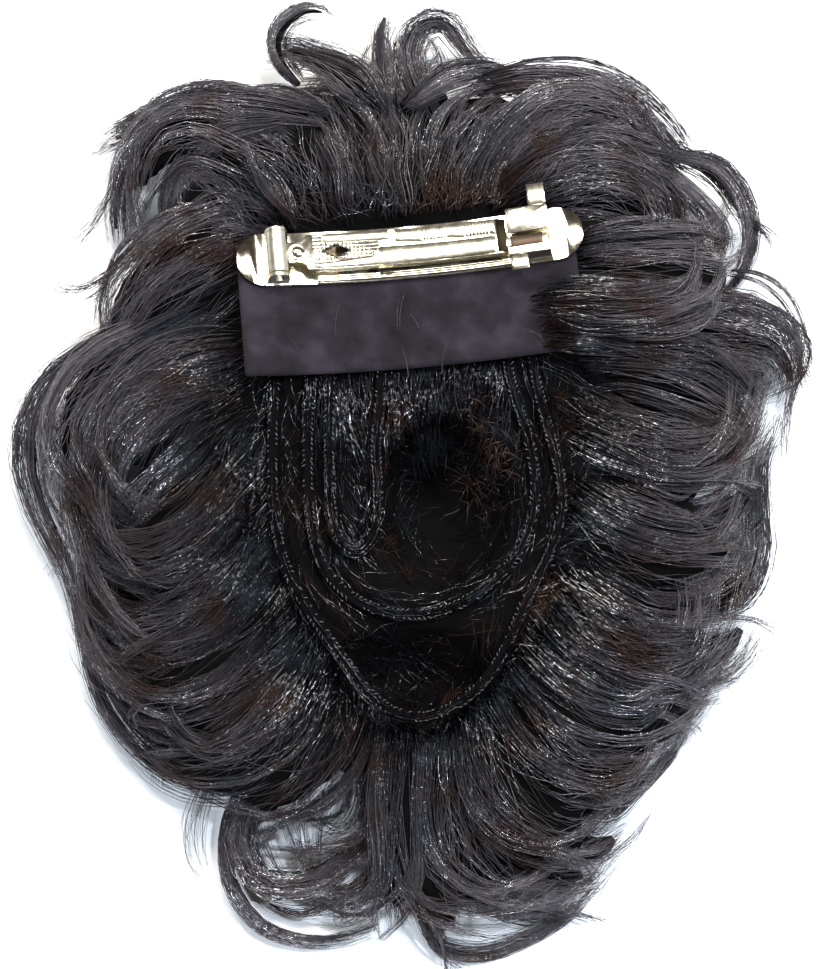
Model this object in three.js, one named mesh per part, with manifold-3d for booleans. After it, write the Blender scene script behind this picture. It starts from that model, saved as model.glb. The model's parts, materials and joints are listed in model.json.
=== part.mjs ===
// A clip-in hairpiece of short, curly, black synthetic hair, lying hair side down with its clip side up.
// Lengths are in millimetres and +Z is up. +Y points from the loose curls to the clip's end of the hair.

import * as THREE from 'three';
import { mergeVertices } from 'three/addons/utils/BufferGeometryUtils.js';
import Module from 'manifold-3d';

const wasm = await Module();
wasm.setup();

// The gap that is kept between pieces that touch
const clearance = 0.3;

// The corner radius of a fully round end, as a share of its half width
const roundEnd = 0.98;

// The hair as it lies: its spread, and the height of the crown that carries the wefts
const hairWidth = 182;
const hairLength = 226;
const hairHeight = 33;
const crownSlope = 0.07; // the crown rises towards the clip by this much for each millimetre
const lockDepth = 0.62; // a lock's thickness as a share of its width
const lockSides = 6;
const lockRings = 6;

// The mass of short hair in the middle, from which the locks come
const massWidth = 128;
const massLength = 156;
const massCentreY = 6;
const massSides = 20;

// The two hollows in the crown, where the wearer's own hair goes
const innerHollow = { x: 7, y: -6, width: 29, length: 39, depth: 21 };
const outerHollow = { x: 0, y: -44.5, width: 41, length: 18, depth: 17 };

// The barrette, in its own frame: X along it, Z out of the plate, 0 at the middle of the plate's underside
const clipLength = 80;
const clipWidth = 13;
const clipX = -0.9;
const clipY = 52.5;
const clipTurn = THREE.MathUtils.degToRad(5.2); // seen from above, anticlockwise
const clipRoll = THREE.MathUtils.degToRad(12); // its lower edge is the higher one
const archRadius = 190;
const archFacets = 9;
const plateThickness = 0.8;
const stitchSlotLength = 3;
const stitchSlotWidth = 1.4;
const stitchSlotX = 9;

// Its hinge
const hingeInset = 9; // from the plate's left end to the pin
const pinRadius = 0.75;
const pinOverhang = 0.9;
const barrelRadius = 2.6;
const barrelLength = 10;
const earLength = 5;
const earThickness = 0.8;
const earRim = 1.2; // metal left round the pin's hole

// Its arm
const armThickness = 0.8;
const armWidth = 8.6;
const armNeckWidth = 5;
const armNeckLength = 6;
const armShoulder = 1; // the slant from the neck to the broad part, along X
const armEnd = 21; // where the broad part ends, along X
const tongueEnd = 31.5;
const tongueWidth = 3.1;
const tongueY = -2.1;
const lozengeX = -17;
const lozengeLength = 6;
const lozengeWidth = 3;
const domeRadius = 1.7;
const domeHeight = 0.9;

// The leaf between the plate and the arm
const leafLength = 34;
const leafWidth = 4.6;
const leafThickness = 0.5;

// Its catch
const catchX = 28;
const catchLength = 9.5;
const catchSheet = 0.6;
const catchWidth = 11.6;
const catchHeight = 4.6;
const tabLength = 3.4;
const tabReach = 3.6;
const tabSpread = 2.6; // each finger tab stands this far from the catch's middle, along X

// The fabric band under the barrette
const bandLength = 78;
const bandDrop = 28; // from the barrette's middle to the band's lower edge
const bandShift = -1; // its middle is this far along the barrette from the plate's
const bandRise = 4.5; // from the barrette's middle to the band's upper edge
const bandThickness = 1.8;
const bandCorner = 1.5;
const hairGap = 1.5; // the hair keeps this far from the barrette's edges
const yokeDepth = 9; // the layer of hair roots under the band

// The wefts: sewn strips that hang from the band in nested loops
const weftWidth = 3.2;
const weftThickness = 1.6;
const weftProud = 0.5; // how far a weft stands above the crown
const weftTuck = 4; // how far its ends go under the band
const weftSteps = 24;
const weftEdge = 0.45; // the chamfer along its edges

// Each weft's loop, as shares of its own width and drop
const loopColumns = ['across', 'down'];
const wefts = [
  {
    name: 'weft_outer',
    x: 0.3,
    width: 67,
    drop: 81,
    loop: table(loopColumns, [
      [-0.48, 0], [-0.49, 0.28], [-0.46, 0.53], [-0.38, 0.67], [-0.25, 0.81], [-0.13, 0.95], [-0.01, 1],
      [0.12, 0.965], [0.24, 0.89], [0.32, 0.77], [0.38, 0.64], [0.46, 0.53], [0.51, 0.37], [0.46, 0.19],
      [0.4, 0],
    ]),
  },
  {
    name: 'weft_middle',
    x: 1.8,
    width: 57,
    drop: 57,
    loop: table(loopColumns, [
      [-0.45, 0], [-0.46, 0.4], [-0.45, 0.61], [-0.4, 0.81], [-0.28, 0.93], [-0.11, 0.99], [0.05, 0.99],
      [0.21, 0.92], [0.34, 0.81], [0.43, 0.66], [0.46, 0.49], [0.41, 0.22], [0.34, 0],
    ]),
  },
  {
    name: 'weft_inner',
    x: -13.7,
    width: 12,
    drop: 43,
    loop: table(loopColumns, [
      [-0.46, 0], [-0.48, 0.48], [-0.42, 0.78], [-0.2, 0.96], [0.08, 1], [0.34, 0.9], [0.46, 0.7],
      [0.4, 0.43], [0.5, 0.14], [0.52, 0],
    ]),
  },
];

// Each lock: where it starts and ends as shares of the hair's spread, how far it bows out to its left
// at a third and two thirds of the way as shares of its run, its width as a share of the hair's width,
// and the heights of its root, its crest and its tip as shares of the crown's height
const lockColumns = ['fromX', 'fromY', 'toX', 'toY', 'bow', 'hook', 'width', 'root', 'crest', 'tip'];
const locks = table(lockColumns, [
  // upper left: these arch up and fall to the side
  [-0.15, 0.31, -0.39, 0.25, -0.55, -0.6, 0.1, 0.7, 0.85, 0.2],
  [-0.13, 0.33, -0.41, 0.35, -0.35, -0.25, 0.07, 0.7, 0.8, 0.2],
  [-0.17, 0.27, -0.32, 0.22, -0.4, -0.45, 0.11, 0.75, 0.85, 0.35],
  [-0.2, 0.26, -0.42, 0.14, -0.12, -0.05, 0.13, 0.75, 0.9, 0.15],
  // left curl
  [-0.22, 0.16, -0.43, -0.08, -0.4, -0.5, 0.08, 0.7, 0.7, 0.15],
  [-0.2, 0.13, -0.42, -0.03, -0.22, -0.25, 0.13, 0.75, 0.8, 0.2],
  // left: these sweep out and down, and curl up at their ends
  [-0.18, 0.04, -0.43, -0.06, 0.2, 0.35, 0.14, 0.75, 0.85, 0.2],
  [-0.17, -0.04, -0.42, -0.14, 0.25, 0.35, 0.14, 0.72, 0.8, 0.2],
  [-0.15, -0.12, -0.41, -0.2, 0.2, 0.35, 0.13, 0.7, 0.75, 0.18],
  [-0.12, -0.18, -0.36, -0.27, 0.25, 0.35, 0.12, 0.65, 0.7, 0.18],
  [-0.09, -0.2, -0.25, -0.33, 0.2, 0.25, 0.12, 0.6, 0.65, 0.2],
  // lower left loops
  [-0.09, -0.22, -0.23, -0.33, 0.85, 0.9, 0.055, 0.45, 0.3, 0.2],
  [-0.05, -0.26, -0.24, -0.37, 0.85, 0.9, 0.04, 0.35, 0.2, 0.15],
  // bottom
  [-0.02, -0.23, -0.04, -0.47, 0.05, 0.05, 0.09, 0.6, 0.6, 0.12],
  [0.02, -0.24, 0.07, -0.49, -0.12, -0.14, 0.11, 0.6, 0.5, 0.12],
  [0.05, -0.23, 0.24, -0.41, -0.5, -0.6, 0.09, 0.6, 0.5, 0.15],
  [0.07, -0.22, 0.29, -0.345, -0.42, -0.5, 0.11, 0.62, 0.65, 0.18],
  // lower right: a mirrored sweep
  [0.1, -0.2, 0.345, -0.25, -0.4, -0.5, 0.12, 0.65, 0.72, 0.18],
  [0.12, -0.15, 0.39, -0.19, -0.3, -0.45, 0.12, 0.68, 0.75, 0.2],
  [0.15, -0.08, 0.44, -0.13, -0.3, -0.45, 0.14, 0.72, 0.8, 0.2],
  [0.18, 0, 0.44, -0.03, -0.22, -0.4, 0.14, 0.75, 0.85, 0.2],
  [0.17, 0.08, 0.455, 0.07, -0.15, -0.38, 0.14, 0.75, 0.85, 0.2],
  [0.34, 0.2, 0.44, 0.05, 0.7, 0.8, 0.03, 0.65, 0.3, 0.15],
  // right, beside the barrette
  [0.2, 0.22, 0.43, 0.24, -0.05, -0.15, 0.15, 0.8, 0.95, 0.2],
  // upper right: a broad arch, and two thin curls at its end
  [0.08, 0.3, 0.355, 0.31, 0.5, 0.55, 0.1, 0.7, 0.8, 0.25],
  [0.12, 0.29, 0.37, 0.27, 0.25, 0.3, 0.13, 0.75, 0.9, 0.3],
  [0.3, 0.36, 0.42, 0.21, 0.32, 0.42, 0.035, 0.4, 0.3, 0.2],
  [0.28, 0.31, 0.39, 0.235, 0.3, 0.45, 0.032, 0.5, 0.45, 0.25],
  // top
  [-0.02, 0.29, -0.05, 0.485, 0.08, 0.08, 0.08, 0.65, 0.65, 0.15],
  [0.02, 0.29, 0.045, 0.48, 0.12, 0.05, 0.08, 0.65, 0.6, 0.15],
  [0.05, 0.29, 0.17, 0.42, 0.3, 0.3, 0.11, 0.65, 0.7, 0.2],
  [-0.07, 0.29, -0.17, 0.43, -0.12, -0.2, 0.13, 0.65, 0.7, 0.2],
  [-0.11, 0.29, -0.28, 0.385, -0.3, -0.35, 0.12, 0.65, 0.8, 0.2],
  [-0.08, 0.4, -0.17, 0.455, -0.85, -0.9, 0.03, 0.4, 0.3, 0.2],
]);

// The one lock that lies over the band's right end
const coverLocks = table(lockColumns, [
  [0.16, 0.165, 0.41, 0.215, -0.1, -0.25, 0.1, 1.2, 1.22, 0.4],
]);

// The outline of the mass, from its underside to its crown, as shares of its reach and of its height
const massProfile = table(['reach', 'high'], [
  [0, 0], [0.8, 0], [0.95, 0.12], [1, 0.32], [0.95, 0.55], [0.84, 0.76], [0.7, 0.92], [0.55, 1], [0, 1],
]);

const nickel = new THREE.MeshStandardMaterial({ color: 0xd8d4c8, roughness: 0.22, metalness: 1 });
const cloth = new THREE.MeshStandardMaterial({ color: 0x2b282e, roughness: 0.95, metalness: 0 });
const weftTape = new THREE.MeshStandardMaterial({ color: 0x1a171a, roughness: 0.8, metalness: 0 });
const blackHair = new THREE.MeshStandardMaterial({ color: 0x120e11, roughness: 0.45, metalness: 0 });

// Turns rows of numbers into rows with named columns
function table(columns, rows) {
  return rows.map((row) => Object.fromEntries(columns.map((column, i) => [column, row[i]])));
}

// A closed geometry as a solid that can be joined and cut
function solid(geometry) {
  const bare = geometry.clone();
  bare.deleteAttribute('normal');
  bare.deleteAttribute('uv');
  const merged = mergeVertices(bare, 1e-4);
  return new wasm.Manifold(new wasm.Mesh({
    numProp: 3,
    vertProperties: new Float32Array(merged.getAttribute('position').array),
    triVerts: new Uint32Array(merged.getIndex().array),
  }));
}

function geometryOf(body) {
  const mesh = body.getMesh();
  const geometry = new THREE.BufferGeometry();
  geometry.setAttribute('position', new THREE.BufferAttribute(mesh.vertProperties, 3));
  geometry.setIndex(new THREE.BufferAttribute(mesh.triVerts, 1));
  geometry.computeVertexNormals();
  return geometry;
}

function piece(name, geometry, material) {
  const mesh = new THREE.Mesh(geometry, material);
  mesh.name = name;
  return mesh;
}

function joined(solids) {
  return solids.reduce((all, next) => all.add(next));
}

// A block between two corners
function block(low, high) {
  const [x, y, z] = high.map((value, i) => value - low[i]);
  const geometry = new THREE.BoxGeometry(x, y, z);
  return geometry.translate(low[0] + x / 2, low[1] + y / 2, low[2] + z / 2);
}

// A rectangle with round corners, as a flat outline
function roundedOutline(left, right, lower, upper, radius) {
  const outline = new THREE.Shape();
  outline.absarc(right - radius, upper - radius, radius, 0, Math.PI / 2);
  outline.absarc(left + radius, upper - radius, radius, Math.PI / 2, Math.PI);
  outline.absarc(left + radius, lower + radius, radius, Math.PI, Math.PI * 1.5);
  outline.absarc(right - radius, lower + radius, radius, Math.PI * 1.5, Math.PI * 2);
  return outline;
}

// A flat outline raised between two heights
function prism(outline, low, high, curveSegments = 3) {
  const options = { depth: high - low, bevelEnabled: false, curveSegments };
  return new THREE.ExtrudeGeometry(outline, options).translate(0, 0, low);
}

// An outline in the XZ plane, made as wide as asked along Y and centred on it
function sideways(outline, width, curveSegments = 3) {
  const geometry = new THREE.ExtrudeGeometry(outline, { depth: width, bevelEnabled: false, curveSegments });
  return geometry.rotateX(Math.PI / 2).translate(0, width / 2, 0);
}

// A slab that follows the barrette's arch between two heights over its underside
function archedSlab(low, high, length, width) {
  const sweep = Math.asin(length / 2 / (archRadius - Math.max(low, high)));
  const middle = -Math.PI / 2;
  const outline = new THREE.Shape();
  outline.absarc(0, archRadius, archRadius - low, middle - sweep, middle + sweep, false);
  outline.absarc(0, archRadius, archRadius - high, middle + sweep, middle - sweep, true);
  return sideways(outline, width, archFacets);
}

// A flat outline cut out of such a slab
function archedSheet(outline, low, high) {
  const slab = archedSlab(low, high, clipLength * 1.2, clipLength * 1.2);
  return solid(slab).intersect(solid(prism(outline, -clipLength / 4, clipLength / 4)));
}

// Where something that stands on the arch at x has its foot, and how it leans
function onArch(x, high) {
  const lean = Math.asin(x / archRadius);
  const radius = archRadius - high;
  return new THREE.Matrix4()
    .makeTranslation(radius * Math.sin(lean), 0, archRadius - radius * Math.cos(lean))
    .multiply(new THREE.Matrix4().makeRotationY(-lean));
}

const hingeX = -clipLength / 2 + hingeInset;
const armLow = plateThickness + clearance + barrelRadius;
const pinPlace = new THREE.Vector3().applyMatrix4(onArch(hingeX, armLow));
const pinHole = pinRadius + clearance;
const earY = barrelLength / 2 + clearance; // the inner face of each ear

// The barrette's plate, with slots for thread and two ears for the pin
function clipBase() {
  const outline = roundedOutline(
    -clipLength / 2, clipLength / 2, -clipWidth / 2, clipWidth / 2, roundEnd * clipWidth / 2);
  for (const side of [-1, 1]) {
    const slot = new THREE.Path();
    slot.absellipse(side * stitchSlotX, side * clipWidth / 3, stitchSlotLength / 2, stitchSlotWidth / 2,
      0, Math.PI * 2);
    outline.holes.push(slot);
  }
  const plate = archedSheet(outline, 0, plateThickness);
  const ears = [-1, 1].map((side) => {
    const ear = roundedOutline(-earLength / 2, earLength / 2, plateThickness / 4,
      armLow + pinHole + earRim, roundEnd * earLength / 2);
    const foot = new THREE.Shape();
    foot.moveTo(-earLength / 2, plateThickness / 4);
    foot.lineTo(earLength / 2, plateThickness / 4);
    foot.lineTo(earLength / 2, armLow);
    foot.lineTo(-earLength / 2, armLow);
    const hole = new THREE.Shape();
    hole.absarc(0, armLow, pinHole, 0, Math.PI * 2);
    const wall = solid(sideways(ear, earThickness))
      .add(solid(sideways(foot, earThickness)))
      .subtract(solid(sideways(hole, earThickness * 2)));
    const stand = new THREE.Matrix4().makeTranslation(0, side * (earY + earThickness / 2), 0)
      .premultiply(onArch(hingeX, 0));
    return solid(geometryOf(wall).applyMatrix4(stand));
  });
  return piece('clip_base', geometryOf(joined([plate, ...ears])), nickel);
}

function clipPin() {
  const length = 2 * (earY + earThickness + pinOverhang);
  const pin = piece('clip_pin', new THREE.CylinderGeometry(pinRadius, pinRadius, length, 12), nickel);
  pin.position.copy(pinPlace);
  return pin;
}

// The arm's outline from above: a narrow neck, the broad part with its lozenge hole, and the tongue
function armOutline() {
  const neckStart = hingeX + pinHole + clearance;
  const neckEnd = neckStart + armNeckLength;
  const outline = new THREE.Shape();
  outline.moveTo(neckStart, -armNeckWidth / 2);
  outline.lineTo(neckEnd - armShoulder, -armNeckWidth / 2);
  outline.lineTo(neckEnd, -armWidth / 2);
  outline.lineTo(armEnd, -armWidth / 2);
  outline.lineTo(armEnd, tongueY - tongueWidth / 2);
  outline.lineTo(tongueEnd, tongueY - tongueWidth / 2);
  outline.lineTo(tongueEnd, tongueY + tongueWidth / 2);
  outline.lineTo(armEnd, tongueY + tongueWidth / 2);
  outline.lineTo(armEnd, armWidth / 2);
  outline.lineTo(neckEnd, armWidth / 2);
  outline.lineTo(neckEnd - armShoulder, armNeckWidth / 2);
  outline.lineTo(neckStart, armNeckWidth / 2);
  const lozenge = new THREE.Path();
  lozenge.moveTo(lozengeX - lozengeLength / 2, 0);
  lozenge.lineTo(lozengeX, lozengeWidth / 2);
  lozenge.lineTo(lozengeX + lozengeLength / 2, 0);
  lozenge.lineTo(lozengeX, -lozengeWidth / 2);
  outline.holes.push(lozenge);
  return outline;
}

// The arm, rolled round the pin, with the domed head of its rivet. Its origin is the pin's middle
function clipArm() {
  const strip = archedSheet(armOutline(), armLow, armLow + armThickness);
  const ring = new THREE.Shape();
  ring.absarc(0, 0, barrelRadius, 0, Math.PI * 2);
  const bore = new THREE.Path();
  bore.absarc(0, 0, pinHole, 0, Math.PI * 2);
  ring.holes.push(bore);
  const barrel = sideways(ring, barrelLength, 7).translate(pinPlace.x, 0, pinPlace.z);
  const dome = new THREE.SphereGeometry(1, 10, 6).scale(domeRadius, domeRadius, domeHeight)
    .applyMatrix4(onArch(hingeX + barrelRadius + domeRadius + clearance, armLow + armThickness));
  const arm = joined([strip, solid(barrel), solid(dome)]);
  const mesh = piece('clip_arm', geometryOf(arm).translate(-pinPlace.x, 0, -pinPlace.z), nickel);
  mesh.position.copy(pinPlace);
  return mesh;
}

// The bowed leaf: its ends stand on the plate and its middle just clears the arm
function clipLeaf() {
  const half = leafLength / 2;
  const footZ = archRadius - Math.sqrt(archRadius ** 2 - half ** 2) + plateThickness + clearance;
  const middleZ = armLow - clearance - leafThickness;
  const bulge = 2 * middleZ - footZ; // the control point of a curve whose middle is at middleZ
  const outline = new THREE.Shape();
  outline.moveTo(-half, footZ);
  outline.quadraticCurveTo(0, bulge, half, footZ);
  outline.lineTo(half, footZ + leafThickness);
  outline.quadraticCurveTo(0, bulge + leafThickness, -half, footZ + leafThickness);
  return piece('clip_tension_bar', sideways(outline, leafWidth, 12), nickel);
}

// The pinch catch: a folded sheet with a wide lip and a narrow one, and the arm's tongue between them
function clipCatch() {
  const floor = plateThickness + clearance;
  const top = floor + catchHeight;
  const half = catchLength / 2;
  const side = catchWidth / 2;
  const lipGap = { low: tongueY - tongueWidth / 2 - clearance, high: tongueY + tongueWidth / 2 + clearance };
  const folded = [
    block([-half, -side, floor], [half, side, floor + catchSheet]),
    block([-half, -side, floor], [half, catchSheet - side, top]),
    block([-half, side - catchSheet, floor], [half, side, top]),
    block([-half, lipGap.high, top - catchSheet], [half, side, top]),
    block([-half, -side, top - catchSheet], [half, lipGap.low, top]),
  ].map(solid);
  const tabs = [-1, 1].map((end) => {
    const reach = tabReach + catchSheet;
    const tab = roundedOutline(-tabLength / 2, tabLength / 2, 0, reach, roundEnd * tabLength / 2);
    return solid(prism(tab, top - catchSheet * 2, top - catchSheet / 3)
      .rotateZ(end > 0 ? 0 : Math.PI)
      .translate(end * tabSpread, end * (side - catchSheet), 0));
  });
  const mesh = piece('clip_catch', geometryOf(joined([...folded, ...tabs])), nickel);
  mesh.applyMatrix4(onArch(catchX, 0));
  return mesh;
}

// The band lies against the plate's underside. A grown one is used to cut the hair clear of it
function bandSolid(grow = 0) {
  const outline = roundedOutline(bandShift - bandLength / 2 - grow, bandShift + bandLength / 2 + grow,
    -bandDrop - grow, bandRise + grow, bandCorner + grow);
  return archedSheet(outline, -clearance - bandThickness - grow, -clearance + grow);
}

// The height of the crown, and of the lowest stretch of the band's underside, over the table
function crownHeight(y) {
  return hairHeight + crownSlope * y;
}

const bandEdgeY = clipY - bandDrop * Math.cos(clipRoll);
const bandEdgeHeight = crownHeight(bandEdgeY) + weftProud + clearance;
const bandStack = (bandThickness + clearance) * Math.cos(clipRoll);
const clipSeat = bandEdgeHeight + bandStack - bandDrop * Math.sin(clipRoll);

function bandUnderside(y) {
  return bandEdgeHeight - (y - bandEdgeY) * Math.tan(clipRoll);
}

// The barrette's frame: it is turned and rolled, and its underside is at the seat's height
const clipFrame = new THREE.Group();
clipFrame.position.set(clipX, clipY, clipSeat);
clipFrame.rotation.set(-clipRoll, 0, clipTurn, 'ZYX');
clipFrame.updateMatrix();

function inHair(body) {
  return solid(geometryOf(body).applyMatrix4(clipFrame.matrix));
}

// Lays a straight form, which runs from 0 to 1 along Z, on a curve: its X to the curve's left and its Y up
function layAlong(geometry, pointAt, tangentAt) {
  const position = geometry.getAttribute('position');
  const up = new THREE.Vector3(0, 0, 1);
  for (let i = 0; i < position.count; i += 1) {
    const place = new THREE.Vector3().fromBufferAttribute(position, i);
    const along = tangentAt(place.z);
    const left = new THREE.Vector3().crossVectors(up, along).normalize();
    const rise = new THREE.Vector3().crossVectors(along, left);
    const centre = pointAt(place.z);
    const moved = centre.addScaledVector(left, place.x).addScaledVector(rise, place.y);
    position.setXYZ(i, moved.x, moved.y, moved.z);
  }
  return geometry;
}

// The path of a weft, from under the band round its loop and back
function weftPath(weft) {
  const points = weft.loop.map(({ across, down }) => (
    [weft.x + across * weft.width, bandEdgeY - down * weft.drop]));
  const first = points[0];
  const last = points[points.length - 1];
  points.unshift([first[0], first[1] + weftTuck]);
  points.push([last[0], last[1] + weftTuck]);
  return new THREE.CatmullRomCurve3(points.map(([x, y]) => {
    const free = crownHeight(y) + weftProud - weftThickness / 2;
    const tucked = bandUnderside(y) - clearance - weftThickness / 2;
    return new THREE.Vector3(x, y, Math.min(free, tucked));
  }));
}

// A weft's strip. A grown one, open upwards, cuts its channel in the hair
function weftStrip(weft, grow = 0, headroom = 0) {
  const side = weftWidth / 2 + grow;
  const low = -weftThickness / 2 - grow;
  const high = weftThickness / 2 + grow + headroom;
  const outline = new THREE.Shape([
    [weftEdge - side, low], [side - weftEdge, low], [side, low + weftEdge], [side, high - weftEdge],
    [side - weftEdge, high], [weftEdge - side, high], [-side, high - weftEdge], [-side, low + weftEdge],
  ].map(([x, y]) => new THREE.Vector2(x, y)));
  const strip = new THREE.ExtrudeGeometry(outline, {
    depth: 1, steps: weftSteps, bevelEnabled: false,
  });
  const path = weftPath(weft);
  return layAlong(strip, (t) => path.getPointAt(t), (t) => path.getTangentAt(t));
}

// How full a lock is along its run: it swells soon after its root and thins towards its tip
function fullness(t) {
  return Math.sin(Math.PI * t ** 0.85) ** 0.6;
}

function lockForm(lock) {
  const width = lock.width * hairWidth;
  const form = new THREE.SphereGeometry(1, lockSides, lockRings).rotateX(Math.PI / 2);
  const position = form.getAttribute('position');
  for (let i = 0; i < position.count; i += 1) {
    const place = new THREE.Vector3().fromBufferAttribute(position, i);
    const t = 1 - Math.acos(THREE.MathUtils.clamp(place.z, -1, 1)) / Math.PI;
    const ring = Math.hypot(place.x, place.y);
    const swell = ring < 1e-6 ? 0 : (width / 2) * fullness(t) / ring;
    position.setXYZ(i, place.x * swell, place.y * swell * lockDepth, t);
  }
  const start = new THREE.Vector3(lock.fromX * hairWidth, lock.fromY * hairLength, lock.root * hairHeight);
  const end = new THREE.Vector3(lock.toX * hairWidth, lock.toY * hairLength, lock.tip * hairHeight);
  const run = end.clone().sub(start).setZ(0);
  const left = new THREE.Vector3(-run.y, run.x, 0);
  const curve = new THREE.CubicBezierCurve3(
    start,
    start.clone().addScaledVector(run, 1 / 3).addScaledVector(left, lock.bow).setZ(lock.crest * hairHeight),
    end.clone().addScaledVector(run, -1 / 3).addScaledVector(left, lock.hook).setZ(lock.crest * hairHeight),
    end,
  );
  return solid(layAlong(form, (t) => curve.getPoint(t), (t) => curve.getTangent(t)));
}

// The mass of short hair: an oval cushion with its crown on top
function hairMass() {
  const profile = massProfile.map(({ reach, high }) => new THREE.Vector2(reach, high));
  const form = new THREE.LatheGeometry(profile, massSides).rotateX(Math.PI / 2);
  const position = form.getAttribute('position');
  for (let i = 0; i < position.count; i += 1) {
    const y = massCentreY + position.getY(i) * massLength / 2;
    position.setXYZ(i, position.getX(i) * massWidth / 2, y, position.getZ(i) * crownHeight(y));
  }
  return solid(form);
}

function hollow({ x, y, width, length, depth }) {
  const bowl = new THREE.SphereGeometry(1, 14, 10).scale(width / 2, length / 2, depth);
  return solid(bowl.translate(x, y, crownHeight(y)));
}

// The room over the band and round the barrette, which the hair leaves free
function clipRoom() {
  const underBand = -2 * clearance - bandThickness;
  const lower = -bandDrop - clearance;
  const upper = clipWidth / 2 + hairGap;
  const half = clipLength / 2 + hairGap;
  const slab = solid(archedSlab(underBand, clipWidth / 2, 2 * half, upper - lower)
    .translate(0, (upper + lower) / 2, 0));
  const above = solid(block([-half, lower, clipWidth / 3], [half, upper, hairHeight * 2]));
  const tabX = catchX + tabSpread;
  const tab = solid(block([tabX - tabLength, 0, clipWidth / 3],
    [tabX + tabLength, catchWidth / 2 + tabReach + hairGap, hairHeight * 2]));
  return inHair(joined([slab, above, tab]));
}

// The same room, but only round the barrette, for what lies over the band
function barretteRoom() {
  const half = clipLength / 2 + hairGap;
  const side = catchWidth / 2 + tabReach;
  return inHair(solid(block([-half, -side, -clearance], [half, side, hairHeight * 2])));
}

// The roots under the band
function yoke() {
  const top = -2 * clearance - bandThickness;
  const slab = archedSlab(top - yokeDepth, top, bandLength, bandDrop + bandRise);
  return inHair(solid(slab.translate(0, (bandRise - bandDrop) / 2, 0)));
}

function hair() {
  const body = joined([hairMass(), yoke(), ...locks.map(lockForm)])
    .subtract(clipRoom())
    .add(joined(coverLocks.map(lockForm)).subtract(barretteRoom()))
    .subtract(inHair(bandSolid(clearance)));
  const channels = wefts.map((weft) => solid(weftStrip(weft, clearance, hairHeight / 4)));
  const table = solid(block([-hairWidth, -hairLength, -hairHeight], [hairWidth, hairLength, 0]));
  const cuts = [...channels, hollow(innerHollow), hollow(outerHollow), table];
  return piece('hair', geometryOf(cuts.reduce((rest, cut) => rest.subtract(cut), body)), blackHair);
}

const hairpiece = new THREE.Group();
clipFrame.add(
  clipBase(), clipPin(), clipArm(), clipLeaf(), clipCatch(), piece('band', geometryOf(bandSolid()), cloth));
hairpiece.add(clipFrame, hair());
for (const weft of wefts) {
  hairpiece.add(piece(weft.name, weftStrip(weft), weftTape));
}

// The origin is the middle of the underside
const bounds = new THREE.Box3().setFromObject(hairpiece, true);
const middle = bounds.getCenter(new THREE.Vector3());
hairpiece.position.set(-middle.x, -middle.y, -bounds.min.z);

export default hairpiece;
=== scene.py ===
# A clip-in hairpiece of short curly black synthetic hair, lying with its clip side up

import json
from math import asin, atan, cos, pi, radians, sin, tan

import bmesh
import bpy
import numpy as np
from mathutils import Matrix, Vector
from mathutils.bvhtree import BVHTree


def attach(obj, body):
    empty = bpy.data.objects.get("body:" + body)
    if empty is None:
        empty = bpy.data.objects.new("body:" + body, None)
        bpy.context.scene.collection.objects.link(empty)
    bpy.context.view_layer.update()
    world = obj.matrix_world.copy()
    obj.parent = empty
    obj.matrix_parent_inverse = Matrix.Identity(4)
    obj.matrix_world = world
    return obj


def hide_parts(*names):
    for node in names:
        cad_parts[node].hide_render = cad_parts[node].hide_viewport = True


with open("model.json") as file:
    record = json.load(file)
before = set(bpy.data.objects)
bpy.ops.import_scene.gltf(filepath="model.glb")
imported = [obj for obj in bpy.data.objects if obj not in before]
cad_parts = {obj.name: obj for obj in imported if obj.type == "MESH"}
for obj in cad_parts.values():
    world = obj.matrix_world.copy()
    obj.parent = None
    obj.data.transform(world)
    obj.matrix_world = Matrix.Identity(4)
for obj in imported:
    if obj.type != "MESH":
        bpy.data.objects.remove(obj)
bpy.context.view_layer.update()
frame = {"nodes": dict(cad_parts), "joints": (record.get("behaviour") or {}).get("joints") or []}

mm = 0.001
nodes = frame["nodes"]


# Helpers

def deselectAll():
    if bpy.context.object and bpy.context.object.mode != "OBJECT":
        bpy.ops.object.mode_set(mode="OBJECT")
    bpy.ops.object.select_all(action="DESELECT")


def linearColour(hexText):
    channels = [int(hexText[i:i + 2], 16) / 255 for i in (1, 3, 5)]
    return tuple(c / 12.92 if c <= 0.04045 else ((c + 0.055) / 1.055) ** 2.4 for c in channels) + (1.0,)


# One node of a material, with its settings, its socket values and what feeds them
def addNode(tree, kind, settings=None, values=None, links=None):
    node = tree.nodes.new(kind)
    for key, value in (settings or {}).items():
        setattr(node, key, value)
    for key, value in (values or {}).items():
        node.inputs[key].default_value = value
    for key, source in (links or {}).items():
        tree.links.new(source, node.inputs[key])
    return node


def newMaterial(name, values):
    material = bpy.data.materials.new(name)
    material.use_nodes = True
    tree = material.node_tree
    tree.nodes.clear()
    shader = addNode(tree, "ShaderNodeBsdfPrincipled", values=values)
    addNode(tree, "ShaderNodeOutputMaterial", links={"Surface": shader.outputs[0]})
    return material, tree, shader


def addRamp(tree, stops, source):
    ramp = addNode(tree, "ShaderNodeValToRGB", links={"Fac": source})
    elements = ramp.color_ramp.elements
    for element, (place, colour) in zip(elements, (stops[0], stops[-1])):
        element.position = place
        element.color = linearColour(colour)
    for place, colour in stops[1:-1]:
        elements.new(place).color = linearColour(colour)
    return ramp


def dress(piece, material):
    piece.data.materials.clear()
    piece.data.materials.append(material)


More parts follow.
